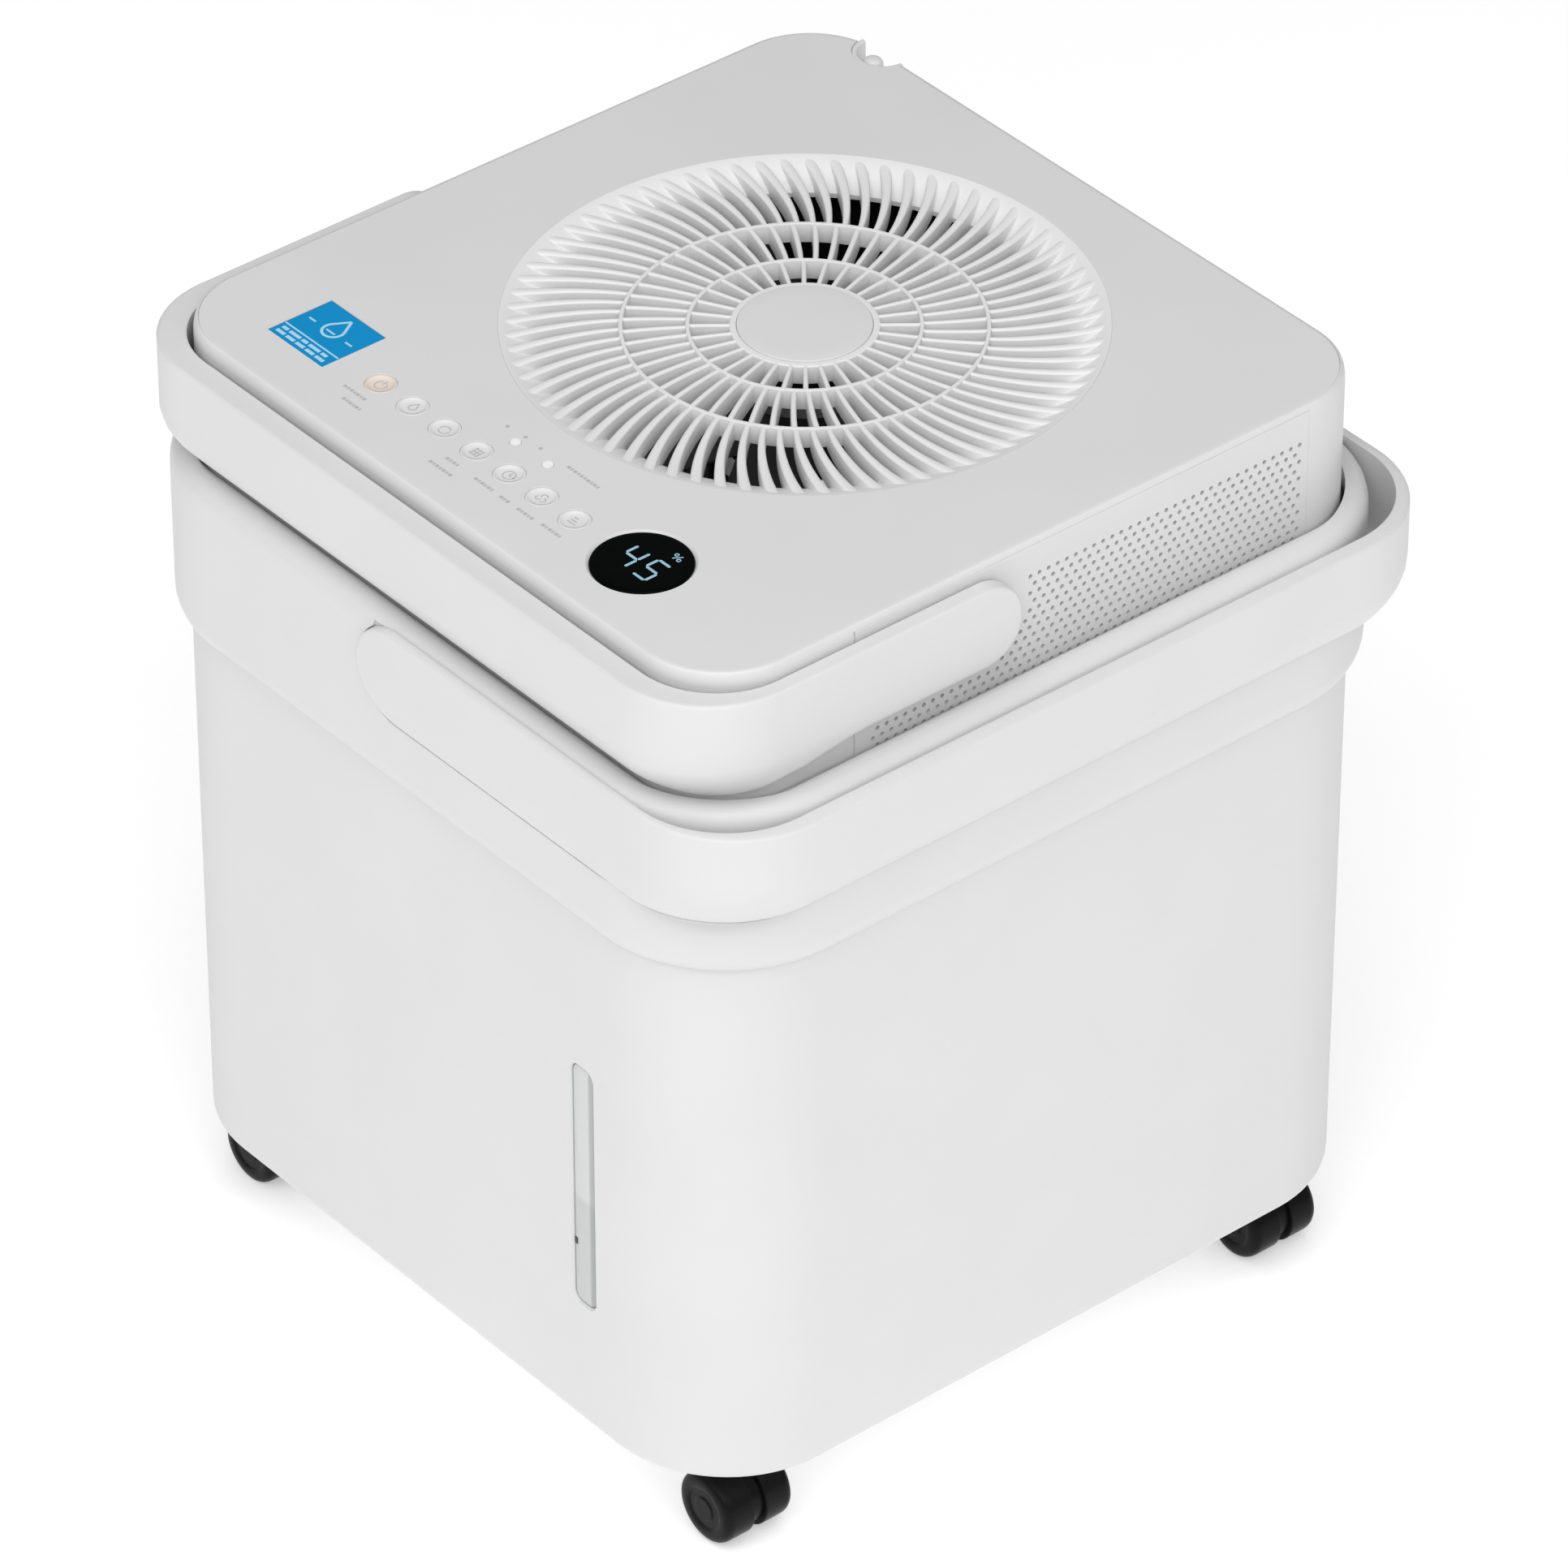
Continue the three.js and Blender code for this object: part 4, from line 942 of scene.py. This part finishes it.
def digit_shape(digit, x, y, width, half_height, z):
    shape = Shape()
    gap = 0.75
    for part in DIGITS[digit]:
        x0, y0, x1, y1 = SEGMENTS[part]
        a = Vector((x + x0 * width, y + y0 * half_height))
        b = Vector((x + x1 * width, y + y1 * half_height))
        along = (b - a).normalized()
        side = along.orthogonal() * 0.62
        a, b = a + along * gap, b - along * gap
        tip = along * 0.6
        ring = [a - tip, a - side, b - side, b + tip, b + side, a + side]
        shape.loft([[(*p, z - 0.05) for p in ring], [(*p, z + 0.06) for p in ring]])
    return shape


def make_display():
    bottom = limits("display_lens")[0].z
    lens = lathe(rounded([
        (0, bottom, 0), (DISPLAY_R, bottom, 0), (DISPLAY_R, TOP - 0.3, 0.6),
        (DISPLAY_R - 2, TOP - 0.12, 0.8), (0, TOP - 0.1, 0),
    ], 4), 96, DISPLAY.x, DISPLAY.y)
    finish_piece(lens.build(), "display_glass", black_lens, "head", ["display_lens"])
    z = TOP - 0.1
    digits = digit_shape("4", DISPLAY.x - 8.8, DISPLAY.y - 0.6, 6.8, 6.4, z)
    digits.merge(digit_shape("5", DISPLAY.x + 3.1, DISPLAY.y - 0.6, 6.8, 6.4, z))
    x, y = DISPLAY.x + 6.6, DISPLAY.y + 12.0
    for side in (-1, 1):
        digits.merge(arc_band(0.75, 0, 360, 0.5, z, 14).moved(x + 1.6 * side, y - 0.9 * side))
    digits.merge(bar(x - 1.2, y - 1.8, x + 1.2, y + 1.8, 0.5, z))
    finish_piece(digits.build(), "display_digits", digit_glow, "head", [])


def make_label():
    """Blue information label with a plain drop and a pale footer of dashes."""
    low, high = limits("info_label")
    z = TOP - 0.1
    sheet = Shape().loft([
        box_ring(low.x, high.x, low.y, high.y, TOP - 0.6), box_ring(low.x, high.x, low.y, high.y, z - 0.06),
        box_ring(low.x + 0.1, high.x - 0.1, low.y + 0.1, high.y - 0.1, z),
    ])
    finish_piece(sheet.build(), "label_sheet", label_blue, "head", ["info_label"])
    prints = Shape()
    foot = low.y + 8.2
    prints.merge(bar(low.x + 0.4, foot, high.x - 0.4, foot, 0.8, z - 0.06))
    for row, y in enumerate((low.y + 5.6, low.y + 2.6)):
        x = low.x + 2.0
        while x < high.x - 4.5:
            length = 3.4 + 1.6 * ((row + int(x)) % 3)
            end = min(high.x - 2, x + length)
            prints.merge(bar(x, y, end, y, 1.7, z - 0.06))
            x = end + 1.1
    cx, cy = LABEL.x, LABEL.y + 3.2
    prints.merge(arc_band(4.6, 150, 390, 1.2, z - 0.06, 32).moved(cx, cy))
    for side, depth in ((-4.0, 0.07), (4.0, 0.05)):
        prints.merge(bar(cx + side, cy + 2.3, cx, cy + 9.0, 1.2, z - depth))
    for i in (-1, 0, 1):
        x, half = cx + i * 11.34, 2.6 - abs(i) * 0.6
        prints.merge(bar(x - half, cy - 1.4, x + half, cy - 1.4, 0.9, z - 0.06))
    finish_piece(prints.build(), "label_print", label_pale, "head", [])


def perforated_sheet(low, high, pitch, row, radius, kind):
    """Upright sheet of brick-like cells; kind(y, z) says whether a cell is "hole", "plain" or "open"."""
    sheet = Shape()
    columns = int((high.y - low.y) / pitch)
    rows = int((high.z - low.z) / row)
    step, height = (high.y - low.y) / columns, (high.z - low.z) / rows
    sides = 8
    borders = {}
    for j in range(rows):
        z0, z1 = low.z + j * height, low.z + (j + 1) * height
        if j % 2:
            cuts = [low.y] + [low.y + (i + 0.5) * step for i in range(columns)] + [high.y]
        else:
            cuts = [low.y + i * step for i in range(columns + 1)]
        for y0, y1 in zip(cuts, cuts[1:]):
            yc, zc = (y0 + y1) / 2, (z0 + z1) / 2
            narrow = y1 - y0 < step * 0.75
            rim = [(y1, zc), (y1, z1), (yc, z1), (y0, z1), (y0, zc), (y0, z0), (yc, z0), (y1, z0)]
            if narrow:
                rim = [rim[i] for i in (0, 1, 3, 4, 5, 7)]
            look = "plain" if narrow else kind(yc, zc)
            if look == "open":
                continue
            count = len(rim)
            for k in range(count):
                a, b = rim[k], rim[(k + 1) % count]
                key = frozenset((round(y, 2), round(z, 2)) for y, z in (a, b))
                borders.setdefault(key, []).append((a, b))
            if look == "plain":
                for x in (high.x, low.x):
                    sheet.add([(x, y, z) for y, z in rim], [range(count)])
                continue
            turns = [2 * math.pi * k / sides for k in range(sides)]
            hole = [(yc + radius * math.cos(t), zc + radius * math.sin(t)) for t in turns]
            faces = []
            for k in range(sides):
                m = (k + 1) % sides
                faces.append((k, m, sides + m, sides + k))
                faces.append((2 * sides + m, 2 * sides + k, 3 * sides + k, 3 * sides + m))
                faces.append((sides + k, sides + m, 3 * sides + m, 3 * sides + k))
            sheet.add([(x, y, z) for x in (high.x, low.x) for y, z in rim + hole], faces)
    for pair in borders.values():
        if len(pair) == 1:
            (y0, z0), (y1, z1) = pair[0]
            sheet.add([(low.x, y0, z0), (high.x, y0, z0), (high.x, y1, z1), (low.x, y1, z1)], [range(4)])
    return sheet


def make_intake():
    """Intake panel: a thin wall full of small round holes, left plain round the handle's arm."""
    bail = HEAD_BAIL
    clear = 8.5
    pin = middle("head_handle_pin_right")

    def kind(y, z):
        if math.hypot(y - pin.y, z - pin.z) < 4.6:
            return "open"
        if y < INTAKE_LOW.y + 9 or y > INTAKE_HIGH.y - 2.5 or z > TOP - 15 or z < INTAKE_LOW.z + 4:
            return "plain"
        if y > bail["end_y"]:
            covered = math.hypot(y - bail["end_y"], z - bail["end_z"]) < bail["end_r"] + clear
        else:
            covered = z > bail_extent(bail, ("arm", 1, y))[0] - clear
        return "plain" if covered else "hole"

    sheet = perforated_sheet(INTAKE_LOW, INTAKE_HIGH, 4.5, 3.9, 1.02, kind)
    finish_piece(sheet.build(), "intake_grille", shell_white, "head", ["intake_panel"])


def make_cord_outlet():
    """Shallow cup in the back edge with a round-topped gland for the cord."""
    bottom = limits("cord_outlet")[0].z
    x, y, deep = middle("cord_outlet").x, HEAD_HALF, TOP - 12
    cup = lathe(rounded([
        (0, bottom, 0), (NOTCH_R - 0.1, bottom, 0), (NOTCH_R - 0.1, TOP - 0.4, 0.6),
        (10.7, TOP - 0.4, 0.8), (10.5, deep, 1.5), (0, deep, 0),
    ], 4), 64, x, y).build()
    gland = lathe(rounded([
        (0, deep - 1, 0), (4.4, deep - 1, 0), (4.4, TOP - 1.2, 3.5), (0, TOP - 1.2, 0),
    ], 6), 40, x, y - 5.6).build()
    combine(cup, [gland], "UNION")
    combine(cup, [block(x - 30, x + 30, y - 0.35, y + 40, bottom - 5, TOP + 5).build()])
    finish_piece(cup, "cord_pocket", top_white, "head", ["cord_outlet"])


# ---- casters ----
def make_caster(name):
    axle = middle(f"caster_{name}_axle")
    wheel_low, wheel_high = limits(f"caster_{name}_wheel_b")
    far = max(abs(wheel_low.y - axle.y), abs(wheel_high.y - axle.y))
    near = min(abs(wheel_low.y - axle.y), abs(wheel_high.y - axle.y))
    radius = axle.z
    profile = rounded([
        (0, far - 1.15, 0), (2.9, far - 1.15, 0), (2.9, near, 0), (radius - 2, near, 0), (radius, near, 0.8),
        (radius, far, 4.2), (radius - 6.5, far, 1.5), (radius - 7.3, far - 0.7, 0.5), (5.6, far - 0.7, 0.5),
        (5.0, far - 0.1, 0.4), (0, far - 0.1, 0),
    ], 6)
    for letter in "ab":
        low, high = limits(f"caster_{name}_wheel_{letter}")
        side = 1 if (low.y + high.y) / 2 > axle.y else -1
        wheel = lathe(profile, 64).turned(-side * math.pi / 2, "X").moved(axle.x, axle.y, axle.z)
        finish_piece(wheel.build(), f"wheel_{name}_{letter}", black_plastic, name + "_wheels",
                     [f"caster_{name}_wheel_{letter}"], 40)
    make_hood(name, axle, near)


def make_hood(name, axle, near):
    """Caster body: a web between the wheels that sweeps up into a round swivel head."""
    stem = middle(f"caster_{name}_stem")
    low, high = limits(f"caster_{name}_hood")
    half = near - 0.3
    out = 1 if axle.x > stem.x else -1
    r = axle.z - 2.2
    above = 2 * axle.z + 0.9
    outline = []
    for i in range(33):
        angle = math.radians(-200 + 290 * i / 32)
        outline.append((axle.x + out * r * math.cos(angle), axle.z + r * math.sin(angle)))
    outline.append((axle.x + out * 2, above - 0.5))
    outline += [(stem.x + out * 9, above + 2), (stem.x - out * 9, above + 2)]
    web = Shape().loft([[(x, axle.y + y, z) for x, z in outline] for y in (-half, half)]).build()
    head = lathe(rounded([
        (0, above, 0), (9.6, above, 1), (11, above + 2.6, 1.5), (11, high.z, 0.8), (0, high.z, 0),
    ], 5), 56, stem.x, stem.y).build()
    combine(web, [head], "UNION")
    combine(web, [
        cylinder(PIN_BORE, low.z, high.z + 2, 32, stem.x, stem.y).build(), bore(2.8, 20, "X", axle).build(),
    ])
    finish_piece(web, "hood_" + name, black_plastic, name + "_caster", [f"caster_{name}_hood"],
                 40)


# ---- CAD nodes that stay, with their finish ----
def dress_frame():
    looks = {
        steel: ["bucket_handle_pin_back", "bucket_handle_pin_front", "head_handle_pin_right",
                "head_handle_pin_left", "fan_motor", "motor_shaft", "motor_bracket"]
        + [f"caster_{name}_{part}" for name in CASTERS for part in ("stem", "axle")],
        inner_white: ["head_base", "drip_tray"],
        shroud_black: ["fan_shroud"],
        grey_plastic: ["fan_impeller"],
        float_grey: ["water_float"],
        fins_metal: ["evaporator_coil", "condenser_coil"],
        filter_mesh: ["air_filter"],
        painted_black: ["compressor"],
        rubber: ["compressor_mount"],
        copper: ["discharge_pipe", "suction_pipe"],
        board_green: ["control_board"],
        light_white: ["indicator_light_guide"],
    }
    for material, nodes in looks.items():
        for name in nodes:
            mesh = frame["nodes"][name].data
            mesh.materials.clear()
            mesh.materials.append(material)


# ---- stage ----
def make_floor():
    mesh = bpy.data.meshes.new("floor")
    mesh.from_pydata(box_ring(-12, 12, -12, 12, 0), [], [(0, 1, 2, 3)])
    floor = add_object("floor", mesh)
    pale = (0.93, 0.93, 0.93)
    material, shader = new_material("floor_pale", pale, 0.9)
    tint(material, shader, pale, 0.004, 300.0)
    shader.inputs["Emission Color"].default_value = (1, 1, 1, 1)
    shader.inputs["Emission Strength"].default_value = 0.36
    mesh.materials.append(material)


def aim(thing, target, azimuth, elevation, distance):
    """Stands a camera or light off the target, by degrees and metres, and turns it to face the target."""
    a, e = math.radians(azimuth), math.radians(elevation)
    back = Vector((math.sin(a) * math.cos(e), -math.cos(a) * math.cos(e), math.sin(e)))
    thing.location = target + back * distance
    thing.rotation_mode = "QUATERNION"
    thing.rotation_quaternion = (-back).to_track_quat("-Z", "Y")


def make_camera():
    data = bpy.data.cameras.new("camera")
    data.lens = 229.16
    data.sensor_width = 36
    data.clip_end = 50
    camera = add_object("camera", data)
    target = Vector((0.13506, -0.10868, 0.3445))
    azimuth, elevation, distance = 50.205, 36.408, 3.769
    aim(camera, target, azimuth, elevation, distance)
    bpy.context.scene.camera = camera


def soft_light(name, azimuth, elevation, size, power):
    """Square area light aimed at the middle of the object."""
    data = bpy.data.lights.new(name, "AREA")
    data.shape = "SQUARE"
    data.size = size
    data.energy = power
    target, distance = Vector((0, 0, 0.25)), 3.6
    aim(add_object(name, data), target, azimuth, elevation, distance)


def make_light():
    world = bpy.data.worlds.new("studio")
    world.use_nodes = True
    background = world.node_tree.nodes["Background"]
    background.inputs["Color"].default_value = (1, 1, 1, 1)
    background.inputs["Strength"].default_value = 0.25
    bpy.context.scene.world = world
    bpy.context.scene.view_settings.view_transform = "Standard"
    soft_light("corner_light", 48, 36, 2.0, 23.5)
    soft_light("front_light", -5, 36, 2.0, 20.5)
    soft_light("right_light", 100, 36, 2.0, 21)
    soft_light("overhead_light", 45, 68, 3.0, 65)


make_camera()
make_floor()
make_light()
make_bucket()
make_window()
make_handles()
make_head_shell()
make_top_panel()
make_grille()
make_buttons()
make_control_marks()
make_display()
make_label()
make_intake()
make_cord_outlet()
for corner in CASTERS:
    make_caster(corner)
dress_frame()
